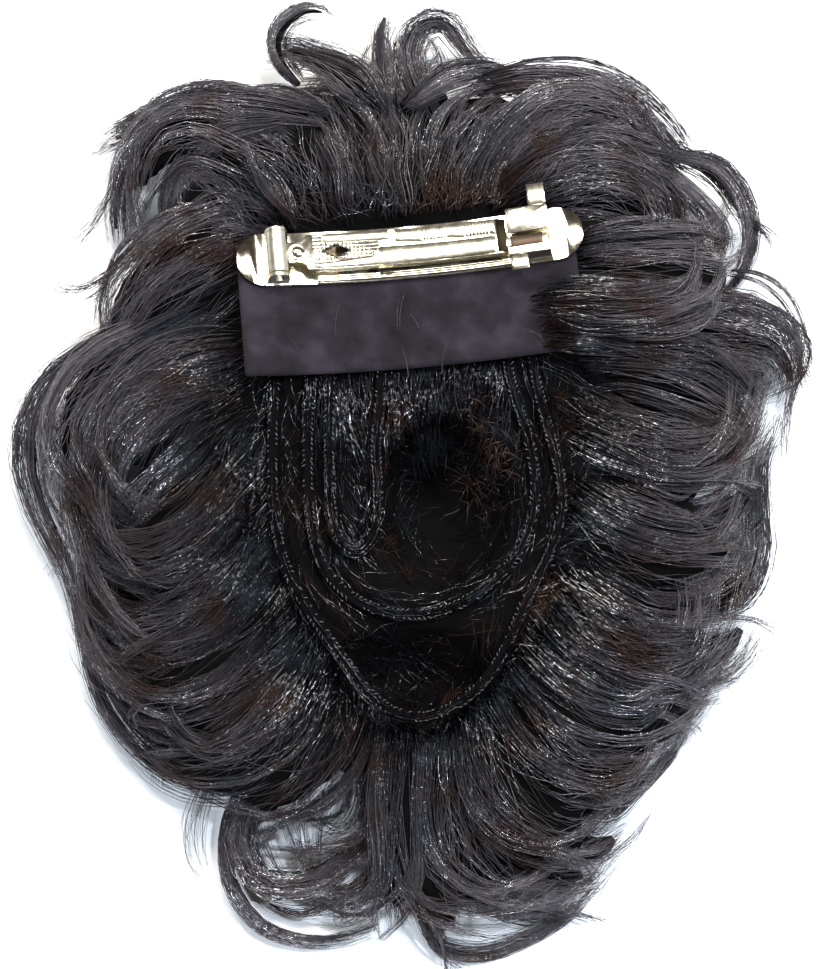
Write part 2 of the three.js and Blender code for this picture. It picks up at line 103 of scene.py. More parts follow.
# A joined mesh: points is (n, 3), and faces is a list of (m, k) arrays of corner numbers
def meshPiece(name, points, faces):
    mesh = bpy.data.meshes.new(name)
    sizes = np.concatenate([np.full(len(f), f.shape[1]) for f in faces])
    corners = np.concatenate([f.ravel() for f in faces])
    mesh.vertices.add(len(points))
    mesh.vertices.foreach_set("co", np.asarray(points, np.float32).ravel())
    mesh.loops.add(len(corners))
    mesh.loops.foreach_set("vertex_index", corners.astype(np.int32))
    mesh.polygons.add(len(sizes))
    starts = np.concatenate([[0], np.cumsum(sizes)[:-1]])
    mesh.polygons.foreach_set("loop_start", starts.astype(np.int32))
    mesh.polygons.foreach_set("use_smooth", np.full(len(sizes), True))
    mesh.update(calc_edges=True)
    piece = bpy.data.objects.new(name, mesh)
    bpy.context.scene.collection.objects.link(piece)
    return piece


# A copy of a solid node's shape, merged so that modifiers and smooth shading work on it
def mergedCopy(node, name):
    deselectAll()
    copy = bpy.data.objects.new(name, node.data.copy())
    copy.matrix_world = node.matrix_world
    bpy.context.scene.collection.objects.link(copy)
    bpy.context.view_layer.objects.active = copy
    copy.select_set(True)
    bpy.ops.object.transform_apply(location=True, rotation=True, scale=True)
    bpy.ops.object.mode_set(mode="EDIT")
    bpy.ops.mesh.select_all(action="SELECT")
    bpy.ops.mesh.remove_doubles(threshold=1e-6)
    bpy.ops.object.mode_set(mode="OBJECT")
    return copy


# The camera looks down, leaning a little towards the loose curls, as in the photograph

view = {
    "distance": 700 * mm,
    "elevation": radians(82),
    "target": (-2.6 * mm, 0.2 * mm, 20 * mm),
    "hairPlane": 15 * mm,
    "pixel": 0.2345 * mm,      # what a pixel spans at the hair's height
    "imageHeight": 969,
}


def addCamera():
    camera = bpy.data.objects.new("camera", bpy.data.cameras.new("camera"))
    bpy.context.scene.collection.objects.link(camera)
    back = Vector((0, -cos(view["elevation"]), sin(view["elevation"])))
    camera.location = Vector(view["target"]) + back * view["distance"]
    camera.rotation_euler = (pi / 2 - view["elevation"], 0, 0)
    toHair = view["distance"] + view["target"][2] - view["hairPlane"]
    camera.data.sensor_fit = "VERTICAL"
    camera.data.angle_y = 2 * atan(view["imageHeight"] * view["pixel"] / 2 / toHair)
    camera.data.clip_start = 0.01
    bpy.context.scene.camera = camera


studio = {
    "floorColour": "#fbfbfb",
    "worldColour": "#d6cfc6",
    "worldStrength": 0.14,
    "lamps": [                  # name, place, power, width, depth, colour
        ("key", (0.06, 0.55, 0.85), 17.0, 0.92, 0.24, "#fffaf2"),
        ("fill", (0.75, 0.15, 0.75), 8.0, 0.2, 0.2, "#e6f1ff"),
        ("front", (-0.45, -0.65, 0.75), 8.0, 0.2, 0.2, "#e6f1ff"),
        ("window", (0.25, 0.12, 1.05), 7.0, 0.05, 0.05, "#e6f1ff"),
    ],
}


def addStudio():
    deselectAll()
    bpy.ops.mesh.primitive_plane_add(size=6, location=(0, 0, 0))
    floor = bpy.context.object
    floor.name = "floor"
    white = {"Base Color": linearColour(studio["floorColour"]), "Roughness": 0.9}
    dress(floor, newMaterial("whiteTable", white)[0])
    for name, place, power, width, depth, colour in studio["lamps"]:
        lamp = bpy.data.lights.new(name, "AREA")
        lamp.energy = power
        lamp.shape = "RECTANGLE"
        lamp.size = width
        lamp.size_y = depth
        lamp.color = linearColour(colour)[:3]
        light = bpy.data.objects.new(name, lamp)
        bpy.context.scene.collection.objects.link(light)
        light.location = place
        light.rotation_euler = (-Vector(place)).to_track_quat("-Z", "Y").to_euler()
    world = bpy.data.worlds.new("studio")
    world.use_nodes = True
    background = world.node_tree.nodes["Background"]
    background.inputs[0].default_value = linearColour(studio["worldColour"])
    background.inputs[1].default_value = studio["worldStrength"]
    bpy.context.scene.world = world
    bpy.context.scene.view_settings.view_transform = "Standard"


addCamera()
addStudio()
print("camera and studio")


# The frame: the barrette's place comes from its hinge, and the hair's from the barrette

hair = {
    "width": 182 * mm,
    "length": 226 * mm,
    "height": 33 * mm,
    "crownSlope": 0.07,
    "lockDepth": 0.62,
}

clip = {
    "length": 80 * mm,
    "width": 13 * mm,
    "x": -0.9 * mm,
    "y": 52.5 * mm,
    "turn": radians(5.2),
    "roll": radians(12),
    "archRadius": 190 * mm,
    "plateThickness": 0.8 * mm,
    "hingeX": -31 * mm,
    "barrelRadius": 2.6 * mm,
    "domeRadius": 1.7 * mm,
    "lozengeX": -17 * mm,
    "armLow": 3.7 * mm,
    "armThickness": 0.8 * mm,
    "room": 1.5 * mm,
}

band = {
    "length": 78 * mm,
    "shift": -1 * mm,
    "drop": 28 * mm,
    "rise": 4.5 * mm,
    "thickness": 1.8 * mm,
    "clearance": 0.3 * mm,
    "cell": 0.8 * mm,
    "edge": 0.7 * mm,          # the radius of its folded edges
    "crease": 1.8 * mm,
    "reach": 1.0 * mm,
    "hairOver": 0.5 * mm,      # how far the hair that crosses it lies over it
    "warp": 0.5 * mm,          # the threads are drawn coarser than they are, so that they show
    "weft": 0.4 * mm,
    "cloud": 9 * mm,           # the size of its lighter and darker patches
    "colours": ("#161316", "#201c21", "#2d282f"),
}

knurl = {
    # edgeLength and edgeWidth are the half sizes of the rhombus of painted shade round the lozenge hole
    "edgeLength": 4.1 * mm,
    "edgeWidth": 2.1 * mm,
    "pitch": 0.9 * mm,
    "depth": 0.14 * mm,
    "from": -22.3 * mm,
    "to": -7.0 * mm,
    "fade": 0.3 * mm,
}


def onArch(x, high):
    lean = asin(x / clip["archRadius"])
    radius = clip["archRadius"] - high
    place = Matrix.Translation((radius * sin(lean), 0, clip["archRadius"] - radius * cos(lean)))
    return place @ Matrix.Rotation(-lean, 4, "Y")


clipTurning = Matrix.Rotation(clip["turn"], 4, "Z") @ Matrix.Rotation(-clip["roll"], 4, "X")
pinPlace = Vector(frame["joints"][0]["pos_m"])
clipPlace = pinPlace - clipTurning @ onArch(clip["hingeX"], clip["armLow"]).translation
clipFrame = Matrix.Translation(clipPlace) @ clipTurning
hairOrigin = np.array([clipPlace.x - clip["x"], clipPlace.y - clip["y"], 0])


def crownHeight(y):
    return hair["height"] + hair["crownSlope"] * (y - hairOrigin[1])


# Points in the barrette's own frame, with the heights measured from its arched underside
def inClip(points):
    inverse = np.array(clipFrame.inverted())
    local = points @ inverse[:3, :3].T + inverse[:3, 3]
    reach = np.clip(local[..., 0], -clip["length"], clip["length"])
    local[..., 2] -= clip["archRadius"] - np.sqrt(clip["archRadius"] ** 2 - reach ** 2)
    return local


# Materials

fibre = {
    "brown": "#2e1f18",
    "blue": "#272c31",
    # painted light: the grey of the thin outer hair, where the floor shows through it
    "paintedFloorLight": "#625c60",
    "middle": (-3 * mm, -3 * mm, 0),
    "weight": (1.25, 0.93, 0),   # the dense hair is longer than it is wide
    "denseReach": 50 * mm,
    "thinReach": 90 * mm,
    "rarity": 1.8,           # the higher it is, the fewer strands shine
    "speck": 1.0 * mm,
    "swell": 11 * mm,        # the size of the patches that shine more
    "grooveShine": 0.35,     # how much of the shine is left between two sheaves
    "crestShine": 2.0,
    # the share of the painted light left between two sheaves, which leaves painted shade there
    "grooveFloorLight": 0.2,
    "shuffle": 97.3,         # turns a strand's tone into a chance of its own
    "patch": 15 * mm,        # the size of the brown and the blue patches
    "brownShare": 0.8,
    "blueShare": 0.6,
    "crimp": 1.1 * mm,
    "crimpDepth": 0.3 * mm,
}


def hairMaterial(name, stops, roughness, shine):
    material, tree, shader = newMaterial(name, {"Roughness": roughness})
    place = addNode(tree, "ShaderNodeTexCoord")
    tone = addNode(tree, "ShaderNodeAttribute", {"attribute_name": "tone"})
    ramp = addRamp(tree, stops, tone.outputs["Fac"])
    # painted light: the thin hair outside lets the white floor through, so it is painted grey, most where a
    # sheaf swells
    centred = addNode(tree, "ShaderNodeVectorMath", {"operation": "SUBTRACT"}, {1: fibre["middle"]},
                      {0: place.outputs["Object"]})
    weighed = addNode(tree, "ShaderNodeVectorMath", {"operation": "MULTIPLY"}, {1: fibre["weight"]},
                      {0: centred.outputs[0]})
    apart = addNode(tree, "ShaderNodeVectorMath", {"operation": "LENGTH"}, links={0: weighed.outputs[0]})
    sheaf = addNode(tree, "ShaderNodeAttribute", {"attribute_name": "sheaf"})
    thin = addNode(tree, "ShaderNodeMapRange", {"clamp": True}, {
        "From Min": fibre["denseReach"], "From Max": fibre["thinReach"]},
        {"Value": apart.outputs["Value"]})
    swollen = addNode(tree, "ShaderNodeMapRange", {"clamp": True}, {"To Min": fibre["grooveFloorLight"]},
                      {"Value": sheaf.outputs["Fac"]})
    share = addNode(tree, "ShaderNodeMath", {"operation": "MULTIPLY"},
                    links={0: thin.outputs["Result"], 1: swollen.outputs["Result"]})
    floorLit = addNode(tree, "ShaderNodeMix", {"data_type": "RGBA"}, {7: linearColour(fibre["paintedFloorLight"])},
                     {0: share.outputs[0], 6: ramp.outputs["Color"]})
    patches = addNode(tree, "ShaderNodeTexNoise", values={"Scale": 1 / fibre["patch"], "Detail": 2.0},
                      links={"Vector": place.outputs["Object"]})
    worn = addNode(tree, "ShaderNodeMapRange", {"clamp": True},
                   {"From Min": 0.52, "From Max": 0.68, "To Max": fibre["brownShare"]},
                   {"Value": patches.outputs["Fac"]})
    mixed = addNode(tree, "ShaderNodeMix", {"data_type": "RGBA"}, {7: linearColour(fibre["brown"])},
                    {0: worn.outputs["Result"], 6: floorLit.outputs[2]})
    cool = addNode(tree, "ShaderNodeMapRange", {"clamp": True},
                   {"From Min": 0.46, "From Max": 0.34, "To Max": fibre["blueShare"]},
                   {"Value": patches.outputs["Fac"]})
    tinted = addNode(tree, "ShaderNodeMix", {"data_type": "RGBA"}, {7: linearColour(fibre["blue"])},
                     {0: cool.outputs["Result"], 6: mixed.outputs[2]})
    tree.links.new(tinted.outputs[2], shader.inputs["Base Color"])

    many = addNode(tree, "ShaderNodeMath", {"operation": "MULTIPLY"}, {1: fibre["shuffle"]},
                   {0: tone.outputs["Fac"]})
    chance = addNode(tree, "ShaderNodeMath", {"operation": "FRACT"}, links={0: many.outputs[0]})
    rare = addNode(tree, "ShaderNodeMath", {"operation": "POWER"}, {1: fibre["rarity"]},
                   {0: chance.outputs[0]})
    specks = addNode(tree, "ShaderNodeTexNoise", values={"Scale": 1 / fibre["speck"], "Detail": 1.0},
                     links={"Vector": place.outputs["Object"]})
    broken = addNode(tree, "ShaderNodeMapRange", {"clamp": True},
                     {"From Min": 0.42, "From Max": 0.6, "To Min": 0.15, "To Max": shine},
                     {"Value": specks.outputs["Fac"]})
    glint = addNode(tree, "ShaderNodeMath", {"operation": "MULTIPLY"},
                    links={0: rare.outputs[0], 1: broken.outputs["Result"]})
    swells = addNode(tree, "ShaderNodeTexNoise", values={"Scale": 1 / fibre["swell"], "Detail": 1.0},
                     links={"Vector": place.outputs["Object"]})
    gathered = addNode(tree, "ShaderNodeMapRange", {"clamp": True},
                       {"From Min": 0.4, "From Max": 0.62, "To Min": 0.25, "To Max": 1.5},
                       {"Value": swells.outputs["Fac"]})
    shining = addNode(tree, "ShaderNodeMath", {"operation": "MULTIPLY"},
                      links={0: glint.outputs[0], 1: gathered.outputs["Result"]})
    crested = addNode(tree, "ShaderNodeMapRange", {"clamp": True},
                      {"To Min": fibre["grooveShine"], "To Max": fibre["crestShine"]},
                      {"Value": sheaf.outputs["Fac"]})
    crestShine = addNode(tree, "ShaderNodeMath", {"operation": "MULTIPLY"},
                         links={0: shining.outputs[0], 1: crested.outputs["Result"]})
    tree.links.new(crestShine.outputs[0], shader.inputs["Specular IOR Level"])

    crimp = addNode(tree, "ShaderNodeTexNoise", values={"Scale": 1 / fibre["crimp"], "Detail": 1.0},
                    links={"Vector": place.outputs["Object"]})
    bump = addNode(tree, "ShaderNodeBump", values={"Strength": 0.8, "Distance": fibre["crimpDepth"]},
                   links={"Height": crimp.outputs["Fac"]})
    tree.links.new(bump.outputs["Normal"], shader.inputs["Normal"])
    return material


# modacrylic fibre: black, with brown and blue-black strands, whose crimp breaks the shine into glints
hairShine = hairMaterial("modacrylicHair", [
    (0.0, "#020203"), (0.5, "#060508"), (0.75, "#0c0b10"), (0.88, "#120e12"), (0.95, "#181112"),
    (0.965, "#2a1b14"), (0.985, "#4f4138"), (1.0, "#4a4341")], 0.18, 2.4)
# the depth of the hair, where hardly any light comes back
hairDepth = newMaterial("hairDepth", {"Base Color": linearColour("#080707"), "Roughness": 0.9,
                                      "Specular IOR Level": 0.05})[0]


# Object coordinates turned into the barrette's own frame, in metres
def clipCoordinates(tree):
    place = addNode(tree, "ShaderNodeTexCoord")
    turned = addNode(tree, "ShaderNodeMapping", {"vector_type": "TEXTURE"},
                     {"Location": clipFrame.translation, "Rotation": clipFrame.to_euler()},
                     {"Vector": place.outputs["Object"]})
    return turned.outputs["Vector"]


plating = {
    "light": "#f3eee0",
    "shade": "#dbd3bb",
    "ends": "#6e6152",           # painted reflection: the dark that the plate's bent ends mirror
    "pressed": "#2c231b",        # painted shade round the edge of the lozenge hole
    "satin": 0.32,               # the roughness beside the hinge pin
    "polished": 0.12,
    "marked": 0.1,               # what the handling marks add to it
    "mark": 1.6 * mm,
    "satinEdge": 0.4 * mm,
    "endsFrom": 33.8 * mm,
    "endsTo": 35.6 * mm,
}


# nickel plate on stamped steel: bright and a little warm, satin round the hinge, with faint handling marks
def nickelMaterial(name, knurled=False):
    material, tree, shader = newMaterial(name, {"Metallic": 1.0})
    place = clipCoordinates(tree)
    apart = addNode(tree, "ShaderNodeSeparateXYZ", links={"Vector": place})
    fromPin = addNode(tree, "ShaderNodeMath", {"operation": "SUBTRACT"}, {1: clip["hingeX"]},
                      {0: apart.outputs["X"]})
    beside = addNode(tree, "ShaderNodeMath", {"operation": "ABSOLUTE"}, links={0: fromPin.outputs[0]})
    satin = addNode(tree, "ShaderNodeMapRange", {"clamp": True}, {
        "From Min": clip["barrelRadius"], "From Max": clip["barrelRadius"] + plating["satinEdge"],
        "To Min": plating["satin"], "To Max": plating["polished"]},
        {"Value": beside.outputs[0]})
    marks = addNode(tree, "ShaderNodeTexNoise", values={"Scale": 1 / plating["mark"], "Detail": 3.0},
                    links={"Vector": place})
    fromMiddle = addNode(tree, "ShaderNodeMath", {"operation": "ABSOLUTE"}, links={0: apart.outputs["X"]})
    ends = addNode(tree, "ShaderNodeMapRange", {"clamp": True}, {
        "From Min": plating["endsFrom"], "From Max": plating["endsTo"], "To Min": 1.0, "To Max": 0.6},
        {"Value": fromMiddle.outputs[0]})
    worn = addNode(tree, "ShaderNodeMath", {"operation": "MULTIPLY_ADD"}, {1: plating["marked"]},
                   {0: marks.outputs["Fac"], 2: satin.outputs["Result"]})
    rough = addNode(tree, "ShaderNodeMath", {"operation": "MULTIPLY"},
                    links={0: worn.outputs[0], 1: ends.outputs["Result"]})
    tree.links.new(rough.outputs[0], shader.inputs["Roughness"])
    tint = addRamp(tree, [(0.3, plating["shade"]), (0.7, plating["light"])], marks.outputs["Fac"])
    # painted reflection: the bent ends are painted darker, for the dark that they mirror
    paintedEndReflection = addNode(tree, "ShaderNodeMapRange", {"clamp": True}, {
        "From Min": 0.6, "From Max": 1.0, "To Min": 0.6, "To Max": 0.0}, {"Value": ends.outputs["Result"]})
    plated = addNode(tree, "ShaderNodeMix", {"data_type": "RGBA"}, {7: linearColour(plating["ends"])},
                     {0: paintedEndReflection.outputs["Result"], 6: tint.outputs["Color"]})
    tree.links.new(plated.outputs[2], shader.inputs["Base Color"])
    bump = addNode(tree, "ShaderNodeBump", values={"Strength": 0.12, "Distance": 0.05 * mm},
                   links={"Height": marks.outputs["Fac"]})
    tree.links.new(bump.outputs["Normal"], shader.inputs["Normal"])
    if not knurled:
        return material
    # painted shade round the edge of the lozenge hole: within a rhombus twice the hole's size
    fromHole = addNode(tree, "ShaderNodeMath", {"operation": "SUBTRACT"}, {1: clip["lozengeX"]},
                       {0: apart.outputs["X"]})
    shares = []
    for distance, half in ((fromHole.outputs[0], knurl["edgeLength"]),
                           (apart.outputs["Y"], knurl["edgeWidth"])):
        size = addNode(tree, "ShaderNodeMath", {"operation": "ABSOLUTE"}, links={0: distance})
        shares.append(addNode(tree, "ShaderNodeMath", {"operation": "DIVIDE"}, {1: half},
                              {0: size.outputs[0]}))
    rhombus = addNode(tree, "ShaderNodeMath", {"operation": "ADD"},
                      links={0: shares[0].outputs[0], 1: shares[1].outputs[0]})
    edged = addNode(tree, "ShaderNodeMapRange", {"clamp": True}, {
        "From Min": 0.85, "From Max": 1.0, "To Min": 0.9, "To Max": 0.0}, {"Value": rhombus.outputs[0]})
    paintedHoleShade = addNode(tree, "ShaderNodeMix", {"data_type": "RGBA"}, {7: linearColour(plating["pressed"])},
                       {0: edged.outputs["Result"], 6: plated.outputs[2]})
    tree.links.new(paintedHoleShade.outputs[2], shader.inputs["Base Color"])
    waves = []
    for axis in ("X", "Y"):
        turn = addNode(tree, "ShaderNodeMath", {"operation": "MULTIPLY"}, {1: 2 * pi / knurl["pitch"]},
                       {0: apart.outputs[axis]})
        wave = addNode(tree, "ShaderNodeMath", {"operation": "SINE"}, links={0: turn.outputs[0]})
        waves.append(wave)
    grid = addNode(tree, "ShaderNodeMath", {"operation": "MAXIMUM"},
                   links={0: waves[0].outputs[0], 1: waves[1].outputs[0]})
    limits = []
    for start, end in ((knurl["from"], knurl["from"] + knurl["fade"]),
                       (knurl["to"], knurl["to"] - knurl["fade"])):
        limits.append(addNode(tree, "ShaderNodeMapRange", {"clamp": True},
                              {"From Min": start, "From Max": end},
                              {"Value": apart.outputs["X"]}))
    within = addNode(tree, "ShaderNodeMath", {"operation": "MULTIPLY"},
                     links={0: limits[0].outputs["Result"], 1: limits[1].outputs["Result"]})
    pressed = addNode(tree, "ShaderNodeBump", values={"Distance": knurl["depth"]},
                      links={"Height": grid.outputs[0], "Strength": within.outputs[0],
                             "Normal": bump.outputs["Normal"]})
    tree.links.new(pressed.outputs["Normal"], shader.inputs["Normal"])
    return material


# black woven tape: matt and a little purple, with a fine weave and faint creases
def clothMaterial():
    material, tree, shader = newMaterial("bandCloth", {"Roughness": 0.85, "Specular IOR Level": 0.06,
                                                       "Sheen Weight": 0.05, "Sheen Roughness": 0.5})
    place = clipCoordinates(tree)
    apart = addNode(tree, "ShaderNodeSeparateXYZ", links={"Vector": place})
    threads = []
    for axis, pitch in (("X", band["warp"]), ("Y", band["weft"])):
        turn = addNode(tree, "ShaderNodeMath", {"operation": "MULTIPLY"}, {1: 2 * pi / pitch},
                       {0: apart.outputs[axis]})
        threads.append(addNode(tree, "ShaderNodeMath", {"operation": "SINE"}, links={0: turn.outputs[0]}))
    weave = addNode(tree, "ShaderNodeMath", {"operation": "MULTIPLY"},
                    links={0: threads[0].outputs[0], 1: threads[1].outputs[0]})
    cloudy = addNode(tree, "ShaderNodeTexNoise", values={"Scale": 1 / band["cloud"], "Detail": 4.0},
                     links={"Vector": place})
    tint = addRamp(tree, list(zip((0.32, 0.5, 0.68), band["colours"])), cloudy.outputs["Fac"])
    tree.links.new(tint.outputs["Color"], shader.inputs["Base Color"])
    bump = addNode(tree, "ShaderNodeBump", values={"Strength": 0.35, "Distance": 0.05 * mm},
                   links={"Height": weave.outputs[0]})
    tree.links.new(bump.outputs["Normal"], shader.inputs["Normal"])
    return material


nickel = nickelMaterial("nickelPlate")
knurledNickel = nickelMaterial("knurledNickelPlate", knurled=True)
# spring steel, dark, with painted shade for where it lies under the arm and in the catch's slot
springSteelInShade = newMaterial("springSteelInShade", {"Metallic": 1.0, "Base Color": linearColour("#3a3129"),
                                              "Roughness": 0.35})[0]
# bent steel in a slot, which mirrors little but the dark
shadedSteel = newMaterial("shadedSteel", {"Metallic": 1.0, "Base Color": linearColour("#1d1911"),
                                          "Roughness": 0.4})[0]
bandCloth = clothMaterial()
# black polyester thread and tape, which shine a little
weftTape = newMaterial("weftTape", {"Base Color": linearColour("#050405"), "Roughness": 0.75,
                                    "Specular IOR Level": 0.03})[0]
weftThread = newMaterial("weftThread", {"Base Color": linearColour("#08070a"), "Roughness": 0.25,
                                        "Specular IOR Level": 0.5})[0]
print("materials")

# The height of the hair's upper surface over the table, on a grid, smoothed so that strands lie evenly

relief = {
    "pitch": 1.0 * mm,
    "reach": 120 * mm,
    "passes": 3,
}


# Evens out a grid of values with its neighbours, a few times
def evened(grid):
    for _ in range(relief["passes"]):
        wide = np.pad(grid, 1, mode="edge")
        grid = (2 * grid + wide[2:, 1:-1] + wide[:-2, 1:-1] + wide[1:-1, 2:] + wide[1:-1, :-2]) / 6
    return grid


def surveyHair():
    mesh = nodes["hair"].data
    world = nodes["hair"].matrix_world
    corners = [world @ vertex.co for vertex in mesh.vertices]
    tree = BVHTree.FromPolygons(corners, [tuple(face.vertices) for face in mesh.polygons])
    count = int(2 * relief["reach"] / relief["pitch"]) + 1
    ticks = np.linspace(-relief["reach"], relief["reach"], count)
    heights = np.zeros((count, count))
    down = Vector((0, 0, -1))
    for i, x in enumerate(ticks):
        for j, y in enumerate(ticks):
            hit = tree.ray_cast(Vector((x, y, 0.1)), down)[0]
            if hit:
                heights[i, j] = hit.z
    return evened(heights)


reliefHeights = surveyHair()


# Reads a grid of values at points by linear blending
def readGrid(grid, x, y):
    count = grid.shape[0]
    u = np.clip((x + relief["reach"]) / relief["pitch"], 0, count - 1.001)
    v = np.clip((y + relief["reach"]) / relief["pitch"], 0, count - 1.001)
    i = u.astype(int)
    j = v.astype(int)
    fu = u - i
    fv = v - j
    if grid.ndim == 3:
        fu = fu[..., None]
        fv = fv[..., None]
    return ((1 - fu) * (1 - fv) * grid[i, j] + fu * (1 - fv) * grid[i + 1, j]
            + (1 - fu) * fv * grid[i, j + 1] + fu * fv * grid[i + 1, j + 1])


# The hair bed: the short dense hair under the loose strands, with the hollows that the wefts lie round

bed = {
    "voxel": 2.2 * mm,
    "smoothing": 12,
    "sink": 1.8 * mm,     # it lies this far under the strands
}


# Leaves out the crumbs that the thin tips turn into when the surface sinks
def keepLargest(piece):
    mesh = bmesh.new()
    mesh.from_mesh(piece.data)
    left = set(mesh.verts)
    islands = []
    while left:
        found = [left.pop()]
        island = set(found)
        while found:
            for edge in found.pop().link_edges:
                for vertex in edge.verts:
                    if vertex not in island:
                        island.add(vertex)
                        found.append(vertex)
        left -= island
        islands.append(island)
    print("bed islands", sorted(len(island) for island in islands)[-6:])
    islands.sort(key=len)
    for island in islands[:-1]:
        bmesh.ops.delete(mesh, geom=list(island), context="VERTS")
    mesh.to_mesh(piece.data)
    mesh.free()


def addHairBed():
    copy = mergedCopy(nodes["hair"], "hair_bed")
    remesh = copy.modifiers.new("remesh", "REMESH")
    remesh.mode = "VOXEL"
    remesh.voxel_size = bed["voxel"]
    bpy.ops.object.modifier_apply(modifier="remesh")
    soften = copy.modifiers.new("soften", "SMOOTH")
    soften.iterations = bed["smoothing"]
    bpy.ops.object.modifier_apply(modifier="soften")
    sink = copy.modifiers.new("sink", "DISPLACE")
    sink.strength = -bed["sink"]
    sink.mid_level = 0.0
    bpy.ops.object.modifier_apply(modifier="sink")
    again = copy.modifiers.new("again", "REMESH")
    again.mode = "VOXEL"
    again.voxel_size = bed["voxel"]
    bpy.ops.object.modifier_apply(modifier="again")
    keepLargest(copy)
    bpy.ops.object.shade_smooth()
    dress(copy, hairDepth)
    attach(copy, "hairpiece")
    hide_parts("hair")
    print("hair bed", len(copy.data.polygons))


addHairBed()


# The locks: start and end as shares of the hair's spread, the bow to the left at a third and two thirds
# of the way, the width, and the heights of root, crest and tip, as in the solid model

lockColumns = ("fromX", "fromY", "toX", "toY", "bow", "hook", "width", "root", "crest", "tip")
leftLocks = [
    (-0.15, 0.31, -0.39, 0.25, -0.55, -0.6, 0.1, 0.7, 0.85, 0.2),
    (-0.13, 0.33, -0.41, 0.35, -0.35, -0.25, 0.07, 0.7, 0.8, 0.2),
    (-0.17, 0.27, -0.32, 0.22, -0.4, -0.45, 0.11, 0.75, 0.85, 0.35),
    (-0.2, 0.26, -0.42, 0.14, -0.12, -0.05, 0.13, 0.75, 0.9, 0.15),
    (-0.22, 0.16, -0.43, -0.08, -0.4, -0.5, 0.08, 0.7, 0.7, 0.15),
    (-0.2, 0.13, -0.42, -0.03, -0.22, -0.25, 0.13, 0.75, 0.8, 0.2),
]
lowerLeftLocks = [
    (-0.18, 0.04, -0.43, -0.06, 0.2, 0.35, 0.14, 0.75, 0.85, 0.2),
    (-0.17, -0.04, -0.42, -0.14, 0.25, 0.35, 0.14, 0.72, 0.8, 0.2),
    (-0.15, -0.12, -0.41, -0.2, 0.2, 0.35, 0.13, 0.7, 0.75, 0.18),
    (-0.12, -0.18, -0.36, -0.27, 0.25, 0.35, 0.12, 0.65, 0.7, 0.18),
    (-0.09, -0.2, -0.25, -0.33, 0.2, 0.25, 0.12, 0.6, 0.65, 0.2),
    (-0.09, -0.22, -0.23, -0.33, 0.85, 0.9, 0.055, 0.45, 0.3, 0.2),
    (-0.05, -0.26, -0.24, -0.37, 0.85, 0.9, 0.04, 0.35, 0.2, 0.15),
]
bottomLocks = [
    (-0.02, -0.23, -0.04, -0.47, 0.05, 0.05, 0.09, 0.6, 0.6, 0.12),
    (0.02, -0.24, 0.07, -0.49, -0.12, -0.14, 0.11, 0.6, 0.5, 0.12),
    (0.05, -0.23, 0.24, -0.41, -0.5, -0.6, 0.09, 0.6, 0.5, 0.15),
    (0.07, -0.22, 0.29, -0.345, -0.42, -0.5, 0.11, 0.62, 0.65, 0.18),
    (0.1, -0.2, 0.345, -0.25, -0.4, -0.5, 0.12, 0.65, 0.72, 0.18),
    (0.12, -0.15, 0.39, -0.19, -0.3, -0.45, 0.12, 0.68, 0.75, 0.2),
]
rightLocks = [
    (0.15, -0.08, 0.44, -0.13, -0.3, -0.45, 0.14, 0.72, 0.8, 0.2),
    (0.18, 0, 0.44, -0.03, -0.22, -0.4, 0.14, 0.75, 0.85, 0.2),
    (0.17, 0.08, 0.455, 0.07, -0.15, -0.38, 0.14, 0.75, 0.85, 0.2),
    (0.34, 0.2, 0.44, 0.05, 0.7, 0.8, 0.03, 0.65, 0.3, 0.15),
    (0.2, 0.22, 0.43, 0.24, -0.05, -0.15, 0.15, 0.8, 0.95, 0.2),
    (0.16, 0.165, 0.41, 0.215, -0.1, -0.25, 0.1, 1.2, 1.22, 0.4),
]
topLocks = [
    (0.08, 0.3, 0.355, 0.31, 0.5, 0.55, 0.1, 0.7, 0.8, 0.25),
    (0.12, 0.29, 0.37, 0.27, 0.25, 0.3, 0.13, 0.75, 0.9, 0.3),
    (0.3, 0.36, 0.42, 0.21, 0.32, 0.42, 0.035, 0.4, 0.3, 0.2),
    (0.28, 0.31, 0.39, 0.235, 0.3, 0.45, 0.032, 0.5, 0.45, 0.25),
    (-0.02, 0.29, -0.05, 0.485, 0.08, 0.08, 0.08, 0.65, 0.65, 0.15),
    (0.02, 0.29, 0.045, 0.48, 0.12, 0.05, 0.08, 0.65, 0.6, 0.15),
    (0.05, 0.29, 0.17, 0.42, 0.3, 0.3, 0.11, 0.65, 0.7, 0.2),
    (-0.07, 0.29, -0.17, 0.43, -0.12, -0.2, 0.13, 0.65, 0.7, 0.2),
    (-0.11, 0.29, -0.28, 0.385, -0.3, -0.35, 0.12, 0.65, 0.8, 0.2),
    (-0.08, 0.4, -0.17, 0.455, -0.85, -0.9, 0.03, 0.4, 0.3, 0.2),
]
allLocks = leftLocks + lowerLeftLocks + bottomLocks + rightLocks + topLocks

strands = {
    "darkRoot": 0.3,             # the share of a strand that is in the shade of its neighbours
    "steps": 11,                 # points along a strand
    "radius": 0.125 * mm,
    "tipRadius": 0.045 * mm,
    "perSquareMm": 0.21,         # strands for each square millimetre of a lock seen flat
    "perWisp": 24,
    "wispWidth": 2.4 * mm,
    "wave": 1.2 * mm,
    "curlRadius": (8 * mm, 24 * mm),    # how tightly a wisp's end curls
    "againstBow": 0.2,                  # the share of wisps that curl away from their lock's own bow
    "frizz": 0.4 * mm,
    "buried": 1.6 * mm,
}


